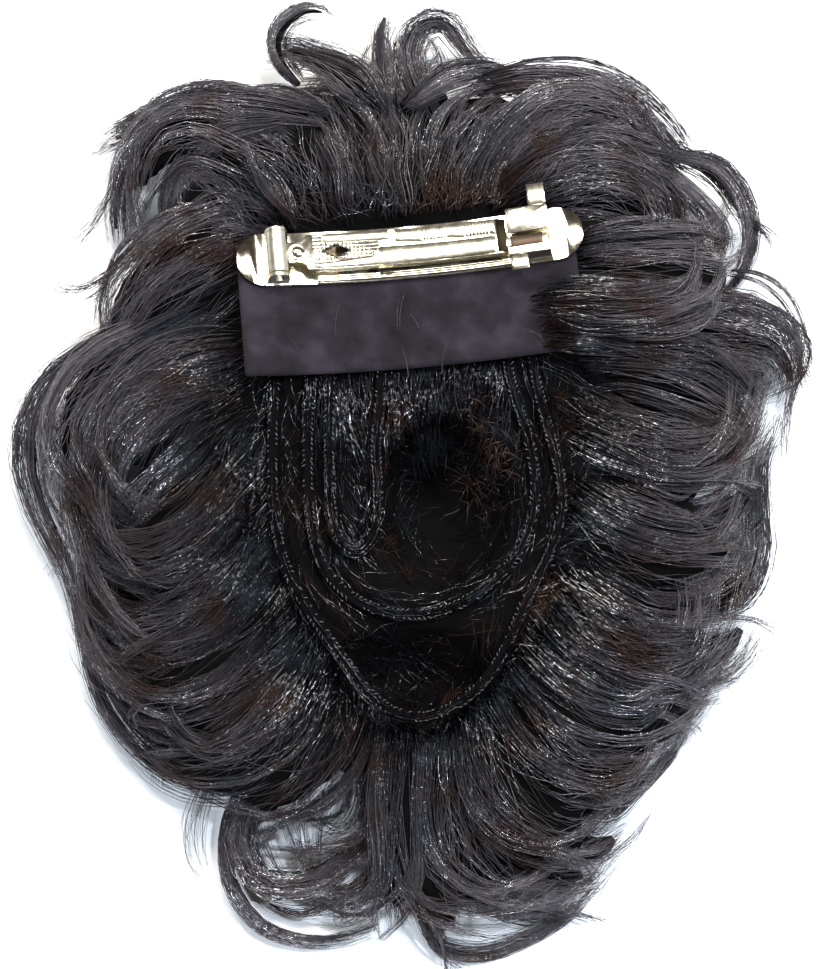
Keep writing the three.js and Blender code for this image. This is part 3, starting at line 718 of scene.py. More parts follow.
# Closed three-sided tubes round the paths: paths is (n, steps, 3), and radii is (n, steps)
def strandTubes(paths, radii):
    count, steps, _ = paths.shape
    along = np.gradient(paths, axis=1)
    along /= np.linalg.norm(along, axis=2, keepdims=True) + 1e-12
    side = np.cross(along, np.array([0.05, 0.08, 1.0]))
    side /= np.linalg.norm(side, axis=2, keepdims=True) + 1e-12
    other = np.cross(along, side)
    turn = np.arange(3) * 2 * pi / 3
    ring = (side[:, :, None, :] * np.cos(turn)[None, None, :, None]
            + other[:, :, None, :] * np.sin(turn)[None, None, :, None])
    points = paths[:, :, None, :] + ring * radii[:, :, None, None]
    first = (np.arange(count) * steps * 3)[:, None, None]
    step = (np.arange(steps - 1) * 3)[None, :, None]
    k = np.arange(3)[None, None, :]
    a = first + step + k
    b = first + step + (k + 1) % 3
    quads = np.stack([a, b, b + 3, a + 3], axis=-1).reshape(-1, 4)
    start = first[:, 0, :] + np.array([[0, 2, 1]])
    end = first[:, 0, :] + (steps - 1) * 3 + np.array([[0, 1, 2]])
    return points.reshape(-1, 3), [quads, np.concatenate([start, end])]


covered = []                # where the strands pass, seen from above

# waves across the hair, in turns a millimetre along each axis, whose sum says where a sheaf swells
sheafWaves = [(0.12, 0.05, 0.06), (-0.06, 0.15, 0.05), (0.09, -0.12, -0.08), (0.21, 0.13, 0.1)]


# From 0 in a groove or at the roots to 1 on a crest: strands that lie side by side get about the same
# It scales the painted light on the outer hair, so grooves and roots keep painted shade, and it scales the
# shine
def sheafOf(paths):
    middle = paths[:, paths.shape[1] // 2] / mm
    waves = np.sin(2 * pi * middle @ np.array(sheafWaves).T)
    fromRoot = np.clip(np.linspace(0, 1, paths.shape[1]) / strands["darkRoot"], 0.15, 1)
    return np.clip(0.5 + 0.85 * waves.mean(axis=1), 0, 1)[:, None] * fromRoot[None, :]


def strandPiece(name, paths, radii, tones):
    covered.append(paths[..., :2].reshape(-1, 2))
    points, faces = strandTubes(paths, radii)
    piece = meshPiece(name, points, faces)
    for label, values in (("tone", np.repeat(tones, paths.shape[1])), ("sheaf", sheafOf(paths).ravel())):
        attribute = piece.data.attributes.new(label, "FLOAT", "POINT")
        attribute.data.foreach_set("value", np.repeat(values, 3).astype(np.float32))
    dress(piece, hairShine)
    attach(piece, "hairpiece")
    print(name, len(paths), "strands", sum(len(f) * (f.shape[1] - 2) for f in faces), "triangles")


def strandRadii(count, steps, rng, scale=1.0):
    s = np.linspace(0, 1, steps)[None, :]
    radii = strands["radius"] + (strands["tipRadius"] - strands["radius"]) * s ** 2
    return radii * rng.uniform(0.7, 1.15, count)[:, None] * scale


def lockCurve(row):
    lock = dict(zip(lockColumns, row))
    spread = np.array([hair["width"], hair["length"]])
    start = np.append(np.array([lock["fromX"], lock["fromY"]]) * spread, lock["root"] * hair["height"])
    end = np.append(np.array([lock["toX"], lock["toY"]]) * spread, lock["tip"] * hair["height"])
    run = (end - start) * (1, 1, 0)
    left = np.array([-run[1], run[0], 0])
    crest = np.array([0, 0, lock["crest"] * hair["height"]])
    first = (start + run / 3 + left * lock["bow"]) * (1, 1, 0) + crest
    second = (end - run / 3 + left * lock["hook"]) * (1, 1, 0) + crest
    return np.stack([start, first, second, end]) + hairOrigin, lock["width"] * hair["width"]


def bezier(corners, t):
    t = t[..., None]
    u = 1 - t
    place = (u ** 3 * corners[0] + 3 * u * u * t * corners[1]
             + 3 * u * t * t * corners[2] + t ** 3 * corners[3])
    slope = (3 * u * u * (corners[1] - corners[0]) + 6 * u * t * (corners[2] - corners[1])
             + 3 * t * t * (corners[3] - corners[2]))
    return place, slope


# The left and upward directions beside a path
def sidesOf(slope):
    along = slope / (np.linalg.norm(slope, axis=-1, keepdims=True) + 1e-12)
    left = np.cross(np.array([0, 0, 1.0]), along)
    left /= np.linalg.norm(left, axis=-1, keepdims=True) + 1e-12
    return along, left, np.cross(along, left)


def colours(count, wispOf, wisps, rng):
    return np.clip(rng.uniform(0, 0.8, count) + rng.uniform(0, 0.35, wisps)[wispOf] ** 1.5, 0, 1)


# A lock's strands, gathered in wisps that lie round the upper side of its section and curl at their ends
def lockStrands(row, rng, density=1.0, raggedStart=0.1):
    corners, width = lockCurve(row)
    run = np.linalg.norm(np.diff(bezier(corners, np.linspace(0, 1, 20))[0], axis=0), axis=1).sum()
    count = int(width * run / mm ** 2 * strands["perSquareMm"] * density) + 16
    wisps = max(3, round(count / strands["perWisp"]))
    wispOf = rng.integers(0, wisps, count)
    angle = (rng.uniform(-0.12, 1.12, wisps) * pi)[wispOf]
    reach = rng.uniform(0.72, 1.04, wisps)[wispOf]
    s = np.linspace(0, 1, strands["steps"])[None, :]
    startAt = rng.uniform(-0.05, raggedStart, count)[:, None]
    endAt = (rng.uniform(0.84, 1.1, wisps)[wispOf] - rng.exponential(0.05, count))[:, None]
    t = startAt + (endAt - startAt) * s
    place, slope = bezier(corners, np.clip(t, 0, 1))
    along, left, rise = sidesOf(slope)
    place = place + along * ((t - np.clip(t, 0, 1)) * run)[..., None]
    full = 0.5 + 0.5 * np.sin(pi * np.clip(t, 0, 1) ** 0.8) ** 0.8
    full = full * (1 - 0.35 * np.clip((t - 0.7) / 0.4, 0, 1))
    gather = 1 - 0.55 * np.clip(t, 0, 1.1) ** 1.5
    wispAcross = rng.normal(0, 0.5, count)[:, None] * strands["wispWidth"] * gather
    wispAbove = rng.normal(0, 0.22, count)[:, None] * strands["wispWidth"] * gather
    waves = rng.uniform(0.6, 1.6, wisps)[wispOf][:, None]
    phase = rng.uniform(0, 2 * pi, wisps)[wispOf][:, None]
    waveLeft = strands["wave"] * np.sin(2 * pi * waves * t + phase) * (0.3 + t)
    waveUp = strands["wave"] * 0.5 * np.sin(2 * pi * waves * t * 0.8 + phase * 1.7) * (0.3 + t)
    frizz = rng.normal(0, 1, count)[:, None] * strands["frizz"] * np.sin(
        2 * pi * rng.uniform(1, 3, count)[:, None] * t + rng.uniform(0, 6, count)[:, None])
    half = width / 2
    turned = np.cos(angle)[:, None]
    up = np.sin(angle)[:, None]
    sideways = reach[:, None] * turned * half * full + wispAcross * (0.4 + 0.6 * up) + waveLeft + frizz
    upward = (reach[:, None] * up * half * hair["lockDepth"] * full + wispAbove + waveUp
              - np.abs(turned) * np.abs(wispAcross) * 0.6)
    sense = -np.sign(dict(zip(lockColumns, row))["hook"])
    sense = np.where(rng.uniform(0, 1, wisps) < strands["againstBow"], -sense, sense)[wispOf]
    tight = rng.uniform(*strands["curlRadius"], wisps)[wispOf] * rng.uniform(0.8, 1.25, count)
    curlFrom = rng.uniform(0.5, 0.85, wisps)[wispOf]
    past = np.maximum(0, t - curlFrom[:, None]) * run
    turn = past / tight[:, None]
    _, curlSlope = bezier(corners, curlFrom)
    curlAlong, curlLeft, _ = sidesOf(curlSlope)
    curl = (curlAlong[:, None, :] * (tight[:, None] * np.sin(turn) - past)[..., None]
            + curlLeft[:, None, :] * (sense[:, None] * tight[:, None] * (1 - np.cos(turn)))[..., None])
    lift = rng.uniform(-1.5, 4, wisps)[wispOf][:, None] * mm * np.clip(turn, 0, 2)
    upward = upward + lift
    paths = place + left * sideways[..., None] + rise * upward[..., None] + curl
    return paths, strandRadii(count, strands["steps"], rng), colours(count, wispOf, wisps, rng)


# Strands that would run through the band, the barrette or the room that its arm swings in are left out
def clearOfClip(paths, overBand=False):
    local = inClip(paths)
    room = clip["room"]
    low = -clip["width"] / 2 - 3 * mm if overBand else -band["drop"]
    floor = 0 if overBand else -band["thickness"] - 2 * band["clearance"]
    inside = ((np.abs(local[..., 0]) < clip["length"] / 2 + room) & (local[..., 2] > floor)
              & (local[..., 1] > low) & (local[..., 1] < clip["width"] / 2 + room))
    return ~inside.any(axis=1)


# Strands that lie wholly under others are left out
def showing(paths):
    under = readGrid(reliefHeights, paths[..., 0], paths[..., 1]) - paths[..., 2]
    return (under < strands["buried"]).mean(axis=1) > 0.3


def settle(paths):
    paths[..., 2] = np.maximum(paths[..., 2], 1.3 * strands["radius"])
    return paths


def addLockStrands(name, rows, seed):
    rng = np.random.default_rng(seed)
    parts = [lockStrands(row, rng) for row in rows]
    paths, radii, tones = [np.concatenate(group) for group in zip(*parts)]
    clear = clearOfClip(paths) & showing(paths)
    strandPiece(name, settle(paths[clear]), radii[clear], tones[clear])


addLockStrands("strands_left", leftLocks, 11)
addLockStrands("strands_lower_left", lowerLeftLocks, 12)
addLockStrands("strands_bottom", bottomLocks, 13)
addLockStrands("strands_right", rightLocks[:-1], 14)
addLockStrands("strands_top", topLocks, 15)


# The strands that lie over the band's right end
def addCoverStrands():
    rng = np.random.default_rng(16)
    paths, radii, tones = lockStrands(rightLocks[-1], rng, 1.6, 0.4)
    clear = clearOfClip(paths, overBand=True)
    strandPiece("strands_cover", settle(paths[clear]), radii[clear], tones[clear])


addCoverStrands()


# The way the hair is combed, on a grid: near each lock it follows the lock

combing = {
    "reach": 8 * mm,         # a lock's pull on the hair beside it falls off over this distance
    "everywhere": 0.02,      # the share of the pull that reaches all the hair
}


def combHair():
    count = reliefHeights.shape[0]
    ticks = np.linspace(-relief["reach"], relief["reach"], count)
    gridX, gridY = np.meshgrid(ticks, ticks, indexing="ij")
    flow = np.zeros((count, count, 2))
    for row in allLocks:
        corners, width = lockCurve(row)
        places, slopes = bezier(corners, np.linspace(0, 1, 14))
        pull = width / hair["width"]
        for place, slope in zip(places, slopes):
            distance = (gridX - place[0]) ** 2 + (gridY - place[1]) ** 2
            weight = pull * (np.exp(-distance / 2 / combing["reach"] ** 2)
                             + combing["everywhere"] / (1 + distance / combing["reach"] ** 2))
            heading = slope[:2] / (np.linalg.norm(slope[:2]) + 1e-12)
            flow += weight[..., None] * heading
    return flow / (np.linalg.norm(flow, axis=2, keepdims=True) + 1e-12)


combed = combHair()

drape = {
    "steps": 10,
    "lift": 1.1 * mm,
    "steepest": 1.3,         # how steeply a strand may fall
    "wave": 0.16,            # how far its heading strays, in radians
    "edge": 5 * mm,          # a strand ends where the hair is at least this high
}


# Strands that lie on the hair's surface and follow the way that it is combed
def drapedStrands(starts, lengths, rng, lift, headings=None, stray=drape["wave"]):
    count = len(starts)
    steps = drape["steps"]
    place = starts.copy()
    stray = rng.normal(0, stray, count)
    turn = rng.uniform(1.5, 5, count)
    phase = rng.uniform(0, 2 * pi, count)
    stride = lengths / (steps - 1)
    paths = np.zeros((count, steps, 3))
    high = readGrid(reliefHeights, place[:, 0], place[:, 1])
    for k in range(steps):
        surface = readGrid(reliefHeights, place[:, 0], place[:, 1])
        high = np.maximum(surface, high - stride * drape["steepest"]) if k else surface
        s = k / (steps - 1)
        paths[:, k, 0] = place[:, 0]
        paths[:, k, 1] = place[:, 1]
        paths[:, k, 2] = high + lift * (0.15 + sin(pi * min(1, s * 1.15)) ** 0.7)
        heading = readGrid(combed, place[:, 0], place[:, 1]) if headings is None else headings
        angle = stray + 0.22 * np.sin(turn * s * pi + phase)
        ahead = np.stack([heading[:, 0] * np.cos(angle) - heading[:, 1] * np.sin(angle),
                          heading[:, 0] * np.sin(angle) + heading[:, 1] * np.cos(angle)], axis=1)
        place = place + ahead * stride[:, None]
    return paths


# How many strands pass over each place, on the relief's grid
def passedOver():
    count = reliefHeights.shape[0]
    edges = np.linspace(-relief["reach"], relief["reach"], count + 1)
    places = np.concatenate(covered)
    return evened(np.histogram2d(places[:, 0], places[:, 1], bins=(edges, edges))[0])


# Candidates are drawn everywhere, and those where the fewest strands pass are kept
def addDraped(name, count, kept, seed):
    rng = np.random.default_rng(seed)
    wisps = count // 9
    ring = rng.uniform(0, 2 * pi, wisps)
    out = np.sqrt(rng.uniform(0.1, 1, wisps))
    middles = np.stack([np.cos(ring) * out * 0.42 * hair["width"],
                        np.sin(ring) * out * 0.45 * hair["length"]], axis=1) + hairOrigin[:2]
    wispOf = rng.integers(0, wisps, count)
    starts = middles[wispOf] + rng.normal(0, 1.3 * mm, (count, 2))
    lengths = rng.uniform(22, 48, wisps)[wispOf] * rng.uniform(0.8, 1.2, count) * mm
    lift = drape["lift"] * rng.uniform(0.1, 1.6, count)
    onHair = (readGrid(reliefHeights, starts[:, 0], starts[:, 1]) > 6 * mm) & ~inLoops(starts)
    paths = drapedStrands(starts, lengths, rng, lift)
    onHair &= readGrid(reliefHeights, paths[:, -1, 0], paths[:, -1, 1]) > drape["edge"]
    paths = paths[onHair]
    paths = paths[clearOfClip(paths)]
    cover = passedOver()
    worth = readGrid(cover, paths[..., 0], paths[..., 1])[:, 1:-1].mean(axis=1)
    paths = paths[np.argsort(worth)[:kept]]
    tones = rng.uniform(0, 0.93, len(paths))
    strandPiece(name, settle(paths), strandRadii(len(paths), drape["steps"], rng), tones)


# The wefts' loops, as shares of each one's own width and drop, as in the solid model

wefts = {
    "width": 3.2 * mm,
    "thickness": 1.6 * mm,
    "proud": 0.5 * mm,       # how far a weft stands above the crown
    "tuck": 4 * mm,
    "step": 0.55 * mm,
    "pucker": 0.16 * mm,
    "stitchPitch": 1.15 * mm,
    "stitchLength": 0.62 * mm,
    "stitchRadius": 0.2 * mm,
    "stitchesKept": 0.72,    # the rest are sunk in the tape
    "stitchRow": 0.95 * mm,  # each row's distance from the weft's middle
    "slant": radians(32),
}
loops = [
    {
        "name": "weft_outer", "x": 0.3 * mm, "width": 67 * mm, "drop": 81 * mm,
        "loop": [
            (-0.48, 0), (-0.49, 0.28), (-0.46, 0.53), (-0.38, 0.67), (-0.25, 0.81), (-0.13, 0.95), (-0.01, 1),
            (0.12, 0.965), (0.24, 0.89), (0.32, 0.77), (0.38, 0.64), (0.46, 0.53), (0.51, 0.37), (0.46, 0.19),
            (0.4, 0)],
    },
    {
        "name": "weft_middle", "x": 1.8 * mm, "width": 57 * mm, "drop": 57 * mm,
        "loop": [
            (-0.45, 0), (-0.46, 0.4), (-0.45, 0.61), (-0.4, 0.81), (-0.28, 0.93), (-0.11, 0.99), (0.05, 0.99),
            (0.21, 0.92), (0.34, 0.81), (0.43, 0.66), (0.46, 0.49), (0.41, 0.22), (0.34, 0)],
    },
    {
        "name": "weft_inner", "x": -13.7 * mm, "width": 12 * mm, "drop": 43 * mm,
        "loop": [
            (-0.46, 0), (-0.48, 0.48), (-0.42, 0.78), (-0.2, 0.96), (0.08, 1), (0.34, 0.9), (0.46, 0.7),
            (0.4, 0.43), (0.5, 0.14), (0.52, 0)],
    },
]
bandEdgeY = clip["y"] - band["drop"] * cos(clip["roll"])
bandEdgeHeight = crownHeight(hairOrigin[1] + bandEdgeY) + wefts["proud"] + band["clearance"]


def bandUnderside(y):
    return bandEdgeHeight - (y - hairOrigin[1] - bandEdgeY) * tan(clip["roll"])


# A finer path through the same points, with its corners eased
def easedPath(points):
    path = throughPoints(points, np.linspace(0, 1, 90))[0]
    for _ in range(14):
        path[1:-1] = (path[:-2] + 2 * path[1:-1] + path[2:]) / 4
    return path


def loopPoints(weft):
    flat = [(weft["x"] + across * weft["width"], bandEdgeY - down * weft["drop"])
            for across, down in weft["loop"]]
    flat = [(flat[0][0], flat[0][1] + wefts["tuck"])] + flat + [(flat[-1][0], flat[-1][1] + wefts["tuck"])]
    places = []
    for x, y in flat:
        y += hairOrigin[1]
        free = crownHeight(y) + wefts["proud"] - wefts["thickness"] / 2
        tucked = bandUnderside(y) - band["clearance"] - wefts["thickness"] / 2
        places.append((x + hairOrigin[0], y, min(free, tucked)))
    return np.array(places)


# Which of the places lie inside the outer weft's loop
def inLoops(places):
    outline = loopPoints(loops[0])[:, :2]
    inside = np.zeros(len(places), bool)
    for (ax, ay), (bx, by) in zip(outline, np.roll(outline, -1, axis=0)):
        crosses = (ay > places[:, 1]) != (by > places[:, 1])
        level = np.where(by != ay, (places[:, 1] - ay) / (by - ay + 1e-12), 0)
        inside ^= crosses & (places[:, 0] < ax + level * (bx - ax))
    return inside


# The short hair in and round the loops: fringe under the band, hair along the wefts, and down the hollows

shortHair = {
    "fringe": 420,
    "fringeFrom": -23 * mm,
    "fringeTo": 23 * mm,
    "along": 460,
    "across": 120,
    "down": 150,
    "fuzz": 260,
    "above": 380,
    "bound": 80,
    "overBand": 9,
    "fuzzPlace": (15 * mm, 4.5 * mm),
    "fringeLength": (8, 28),   # the shortest and the longest, in millimetres
    "alongLength": (6, 18),
    "downLength": (7, 18),
    "fuzzLength": (2, 6),
    "acrossLength": (5, 13),
    "aboveLength": (8, 22),
    "boundLength": (8, 22),
}
hollows = [                       # x, y, width and length in the hair's own frame, in millimetres
    (7, -6, 29, 39),
    (0, -44.5, 41, 18),
]


def addShortHair():
    rng = np.random.default_rng(51)
    groups = []            # starts, lengths, headings, fineness, lift and tones

    # the fringe that comes out from under the band
    count = shortHair["fringe"]
    x = rng.uniform(shortHair["fringeFrom"], shortHair["fringeTo"], count)
    y = np.full(count, bandEdgeY) + rng.uniform(-1.5, 2, count) * mm
    aim = -pi / 2 + rng.normal(0, 0.16, count) - x / (90 * mm)
    starts = np.stack([x, y], axis=1) + hairOrigin[:2]
    groups.append((starts, rng.uniform(*shortHair["fringeLength"], count) * mm, aim, 1.0, 0.25 * mm,
                   rng.uniform(0.3, 0.98, count)))

    # hair beside the wefts
    count = shortHair["along"]
    which = rng.integers(0, len(loops), count)
    at = rng.uniform(0.02, 0.98, count)
    starts = np.zeros((count, 2))
    aim = np.zeros(count)
    for number, weft in enumerate(loops):
        chosen = which == number
        spot, slope = throughPoints(loopPoints(weft), at[chosen])
        _, left, _ = sidesOf(slope)
        aside = rng.choice([-1, 1], chosen.sum()) * rng.uniform(1.6, 5, chosen.sum()) * mm
        starts[chosen] = (spot + left * aside[:, None])[:, :2]
        aim[chosen] = np.arctan2(slope[:, 1], slope[:, 0]) + np.sign(aside) * 0.25
    aim += rng.normal(0, 0.25, count)
    groups.append((starts, rng.uniform(*shortHair["alongLength"], count) * mm, aim, 1.0, 0.35 * mm,
                   rng.uniform(0, 0.9, count)))

    # hair that hangs down into the hollows
    count = shortHair["down"]
    which = rng.integers(0, len(hollows), count)
    x, y, width, length = np.array(hollows).T[:, which] * mm
    ring = rng.uniform(0, 2 * pi, count)
    out = rng.uniform(0.55, 1.12, count)
    starts = np.stack([x + np.cos(ring) * out * width / 2, y + np.sin(ring) * out * length / 2], axis=1)
    aim = np.arctan2(y - starts[:, 1], x - starts[:, 0]) + rng.normal(0.7, 0.5, count)
    groups.append((starts + hairOrigin[:2], rng.uniform(*shortHair["downLength"], count) * mm, aim, 0.9,
                   0.5 * mm, rng.uniform(0, 0.85, count)))

    # a brown tangle at the inner hollow's edge
    count = shortHair["fuzz"]
    starts = rng.normal(0, 1, (count, 2)) * (3.4 * mm, 5 * mm) + shortHair["fuzzPlace"] + hairOrigin[:2]
    groups.append((starts, rng.uniform(*shortHair["fuzzLength"], count) * mm, rng.uniform(0, 2 * pi, count),
                   0.8, 1.2 * mm, rng.uniform(0.955, 0.99, count)))

    # hair that crosses the outer weft
    count = shortHair["across"]
    weft = loops[0]
    spot, slope = throughPoints(loopPoints(weft)[1:-1], rng.uniform(0, 1, count))
    aim = np.arctan2(slope[:, 1], slope[:, 0]) - rng.uniform(0.5, 1.4, count)
    groups.append((spot[:, :2], rng.uniform(*shortHair["acrossLength"], count) * mm, aim, 0.9, 1.0 * mm,
                   rng.uniform(0, 0.9, count)))

    # roots along the barrette's upper edge
    count = shortHair["above"]
    x = rng.uniform(-34, 34, count)
    y = rng.uniform(8.6, 15, count)
    local = np.stack([x * mm, y * mm], axis=1)
    cosine, sine = cos(clip["turn"]), sin(clip["turn"])
    starts = np.stack([local[:, 0] * cosine - local[:, 1] * sine, local[:, 0] * sine + local[:, 1] * cosine],
                      axis=1) + np.array(clipPlace)[:2]
    aim = pi / 2 - x / 42 + rng.normal(0, 0.4, count)
    groups.append((starts, rng.uniform(*shortHair["aboveLength"], count) * mm, aim, 1.0, 0.8 * mm,
                   rng.uniform(0, 0.95, count)))

    paths, radii, tones = [], [], []
    for starts, lengths, aim, fineness, lift, tone in groups:
        headings = np.stack([np.cos(aim), np.sin(aim)], axis=1)
        lifts = lift * rng.uniform(0.3, 2.5, len(starts))
        paths.append(drapedStrands(starts, lengths, rng, lifts, headings, 0.1))
        radii.append(strandRadii(len(starts), drape["steps"], rng, fineness))
        tones.append(tone)
    # hair that is bound along the wefts
    for weft in loops:
        count = shortHair["bound"]
        route = easedPath(loopPoints(weft))
        length = np.linalg.norm(np.diff(route, axis=0), axis=1).sum()
        share = rng.uniform(*shortHair["boundLength"], count) * mm / length
        begin = rng.uniform(0.03, 0.97, count) - share / 2
        t = np.clip(begin[:, None] + share[:, None] * np.linspace(0, 1, drape["steps"]), 0, 1)
        spot, slope = throughPoints(route, t)
        _, left, rise = sidesOf(slope)
        aside = rng.uniform(-1.5, 1.5, count)[:, None] * mm
        aside = aside + rng.normal(0, 0.35, t.shape).cumsum(axis=1) * 0.5 * mm
        above = wefts["thickness"] / 2 - aside ** 2 / (5 * mm) + rng.uniform(0.0, 0.25, count)[:, None] * mm
        paths.append(spot + left * aside[..., None] + rise * above[..., None])
        radii.append(strandRadii(count, drape["steps"], rng, 0.9))
        tones.append(rng.uniform(0, 0.9, count))

    # single hairs that lie on the band
    count = shortHair["overBand"]
    s = np.linspace(0, 1, drape["steps"])[None, :]
    x = rng.uniform(-34, 30, count)[:, None] * mm + rng.normal(0, 3, (count, 1)) * mm * s ** 2
    y = -band["drop"] + rng.uniform(-3, 12, count)[:, None] * mm
    y = y + rng.uniform(4, 11, count)[:, None] * mm * s
    y = np.minimum(y, -9 * mm)
    rise = clip["archRadius"] - np.sqrt(clip["archRadius"] ** 2 - x ** 2) + 0.35 * mm
    local = np.stack([x, y, rise], axis=-1)
    place = np.array(clipFrame)
    paths.append(local @ place[:3, :3].T + place[:3, 3])
    radii.append(strandRadii(count, drape["steps"], rng, 0.7))
    tones.append(np.full(count, 1.0))
    paths, radii, tones = np.concatenate(paths), np.concatenate(radii), np.concatenate(tones)
    under = inClip(paths)
    fits = ~((under[..., 2] > -band["thickness"] - 2 * band["clearance"]) & (under[..., 2] < 0)
             & (under[..., 1] > -band["drop"]) & (under[..., 1] < band["rise"])
             & (np.abs(under[..., 0]) < band["length"] / 2)).any(axis=1)
    strandPiece("strands_short", paths[fits], radii[fits], tones[fits])


# Bundles that stand out on their own: curls, loops and edge hair. Each route's points are where the
# picture shows them, across and down in pixels, with their height in millimetres

bundles = [                     # route, width in mm, strands, fineness, tone
    ("left_curl", [(215, 300, 24), (150, 325, 24), (95, 350, 18), (52, 385, 12), (32, 425, 9), (30, 465, 8),
                   (45, 515, 8), (70, 565, 8), (82, 610, 7), (88, 655, 6)], 6, 120, 0.9, 0.0),
    ("left_fall", [(215, 310, 27), (150, 345, 26), (105, 385, 20), (88, 440, 15), (92, 500, 13),
                   (100, 560, 12), (102, 620, 10), (112, 680, 9)], 12, 200, 1.0, 0.05),
    ("left_edge", [(96, 540, 10), (84, 590, 8), (86, 640, 8), (100, 695, 8), (132, 745, 8), (185, 782, 8),
                   (240, 790, 9)], 6, 130, 0.9, 0.0),
    ("upper_left_arch", [(330, 120, 27), (260, 108, 28), (195, 112, 23), (145, 126, 15), (105, 142, 9),
                         (86, 152, 6)], 8, 150, 0.9, 0.05),
    ("upper_left_curtain", [(250, 112, 28), (185, 120, 26), (145, 142, 20), (120, 180, 12), (115, 225, 8),
                            (126, 262, 6)], 6, 110, 0.9, 0.0),
    ("upper_left_fall", [(285, 122, 29), (220, 135, 28), (190, 168, 24), (180, 215, 18), (182, 265, 14),
                         (176, 305, 12)], 10, 170, 1.0, 0.15),
    ("clip_edge_1", [(265, 232, 27.5), (248, 206, 30.5), (226, 181, 30.5), (198, 166, 28.5), (170, 160, 27)],
     12, 44, 1.0, 0.0),
    ("clip_edge_2", [(308, 229, 29.5), (298, 202, 29.5), (283, 172, 29.5), (262, 146, 30), (238, 128, 30)],
     12, 44, 1.0, 0.1),
    ("clip_edge_3", [(355, 225, 31), (350, 197, 30.5), (343, 166, 29.5), (335, 136, 29), (322, 111, 27)],
     12, 44, 1.0, 0.0),
    ("clip_edge_4", [(402, 221, 31.5), (400, 191, 30.5), (398, 160, 28.5), (396, 131, 26.5), (392, 105, 24)],
     12, 44, 1.0, 0.1),
    ("clip_edge_5", [(446, 217, 31.5), (450, 188, 30), (458, 158, 28.5), (470, 130, 28), (485, 106, 26)],
     12, 44, 1.0, 0.0),
    ("clip_edge_6", [(492, 214, 30.5), (500, 184, 29.5), (515, 155, 29.5), (535, 128, 30), (560, 106, 29.5)],
     12, 44, 1.0, 0.1),
    ("clip_edge_7", [(552, 202, 30), (562, 178, 32), (578, 155, 33), (602, 135, 31), (630, 122, 26)],
     10, 40, 1.0, 0.0),
    ("top_left_loop", [(300, 85, 16), (280, 60, 14), (277, 38, 12), (288, 20, 12), (306, 10, 11),
                       (324, 12, 9), (335, 24, 7)], 5, 90, 0.8, 0.0),
    ("top_tuft", [(392, 110, 20), (384, 75, 17), (380, 45, 13), (384, 18, 9), (392, 3, 7)], 6, 100, 0.8, 0.0),
    ("top_arch", [(440, 125, 22), (415, 85, 19), (408, 48, 16), (424, 24, 14), (444, 22, 13), (462, 44, 12),
                  (482, 66, 12), (512, 76, 13)], 7, 130, 0.8, 0.0),
    ("upper_right_brow", [(470, 90, 20), (530, 76, 22), (590, 82, 20), (640, 108, 16), (680, 148, 13),
                          (700, 180, 10)], 8, 140, 0.9, 0.0),
    ("right_loop", [(640, 125, 20), (682, 158, 18), (712, 162, 16), (738, 188, 14), (750, 226, 12),
                    (746, 262, 10), (726, 290, 8), (688, 308, 9)], 4, 110, 0.9, 0.0),
    ("right_inner_loop", [(640, 150, 20), (686, 182, 18), (716, 210, 15), (728, 236, 12), (720, 260, 10),
                          (700, 275, 9)], 4, 80, 0.9, 0.0),
    ("right_flyaway", [(725, 272, 10), (760, 278, 12), (788, 298, 12), (803, 330, 10), (804, 368, 7)],
     3, 36, 0.7, 0.0),
    ("right_veil", [(640, 325, 18), (690, 308, 15), (738, 302, 13), (775, 318, 10), (796, 345, 7)],
     6, 40, 0.7, 0.0),
    ("right_wing", [(600, 335, 25), (665, 332, 22), (730, 338, 17), (778, 352, 11), (792, 380, 7),
                    (780, 415, 6)], 13, 170, 1.0, 0.1),
    ("right_edge", [(690, 610, 12), (735, 600, 9), (755, 560, 8), (756, 505, 8), (760, 460, 7),
                    (776, 420, 6)], 6, 130, 0.9, 0.0),
    ("lower_left_loop", [(300, 765, 17), (258, 795, 12), (240, 840, 8), (258, 880, 7), (305, 884, 7),
                         (350, 858, 8), (384, 815, 10), (396, 775, 13)], 6, 180, 1.0, 0.0),
    ("lower_left_outer_loop", [(240, 785, 12), (228, 835, 8), (236, 888, 5), (262, 922, 4), (308, 938, 3),
                               (352, 935, 3), (384, 922, 3)], 4, 90, 0.8, 0.0),
    ("lower_left_hanging", [(212, 778, 10), (204, 815, 7), (206, 855, 4), (216, 892, 2)], 9, 26, 0.6, 0.0),
    ("lower_left_veil", [(268, 905, 4), (300, 916, 4), (342, 902, 4), (368, 880, 6)], 6, 40, 0.7, 0.0),
    ("bottom_fall", [(392, 755, 20), (386, 815, 14), (390, 875, 8), (402, 932, 4)], 11, 150, 1.0, 0.25),
    ("bottom_middle", [(432, 755, 20), (424, 825, 14), (428, 890, 7), (446, 955, 3)], 9, 110, 0.9, 0.15),
    ("bottom_right_loop", [(450, 790, 18), (462, 850, 12), (495, 900, 6), (545, 908, 5), (580, 882, 7)],
     7, 100, 0.9, 0.1),
    ("bottom_edge", [(418, 905, 6), (438, 948, 3), (478, 958, 3), (530, 940, 3), (574, 912, 4),
                     (600, 880, 6)], 5, 100, 0.8, 0.0),
    ("lower_right_edge", [(560, 800, 14), (612, 812, 10), (636, 790, 8), (664, 760, 8), (688, 722, 8)],
     6, 110, 0.9, 0.0),
]
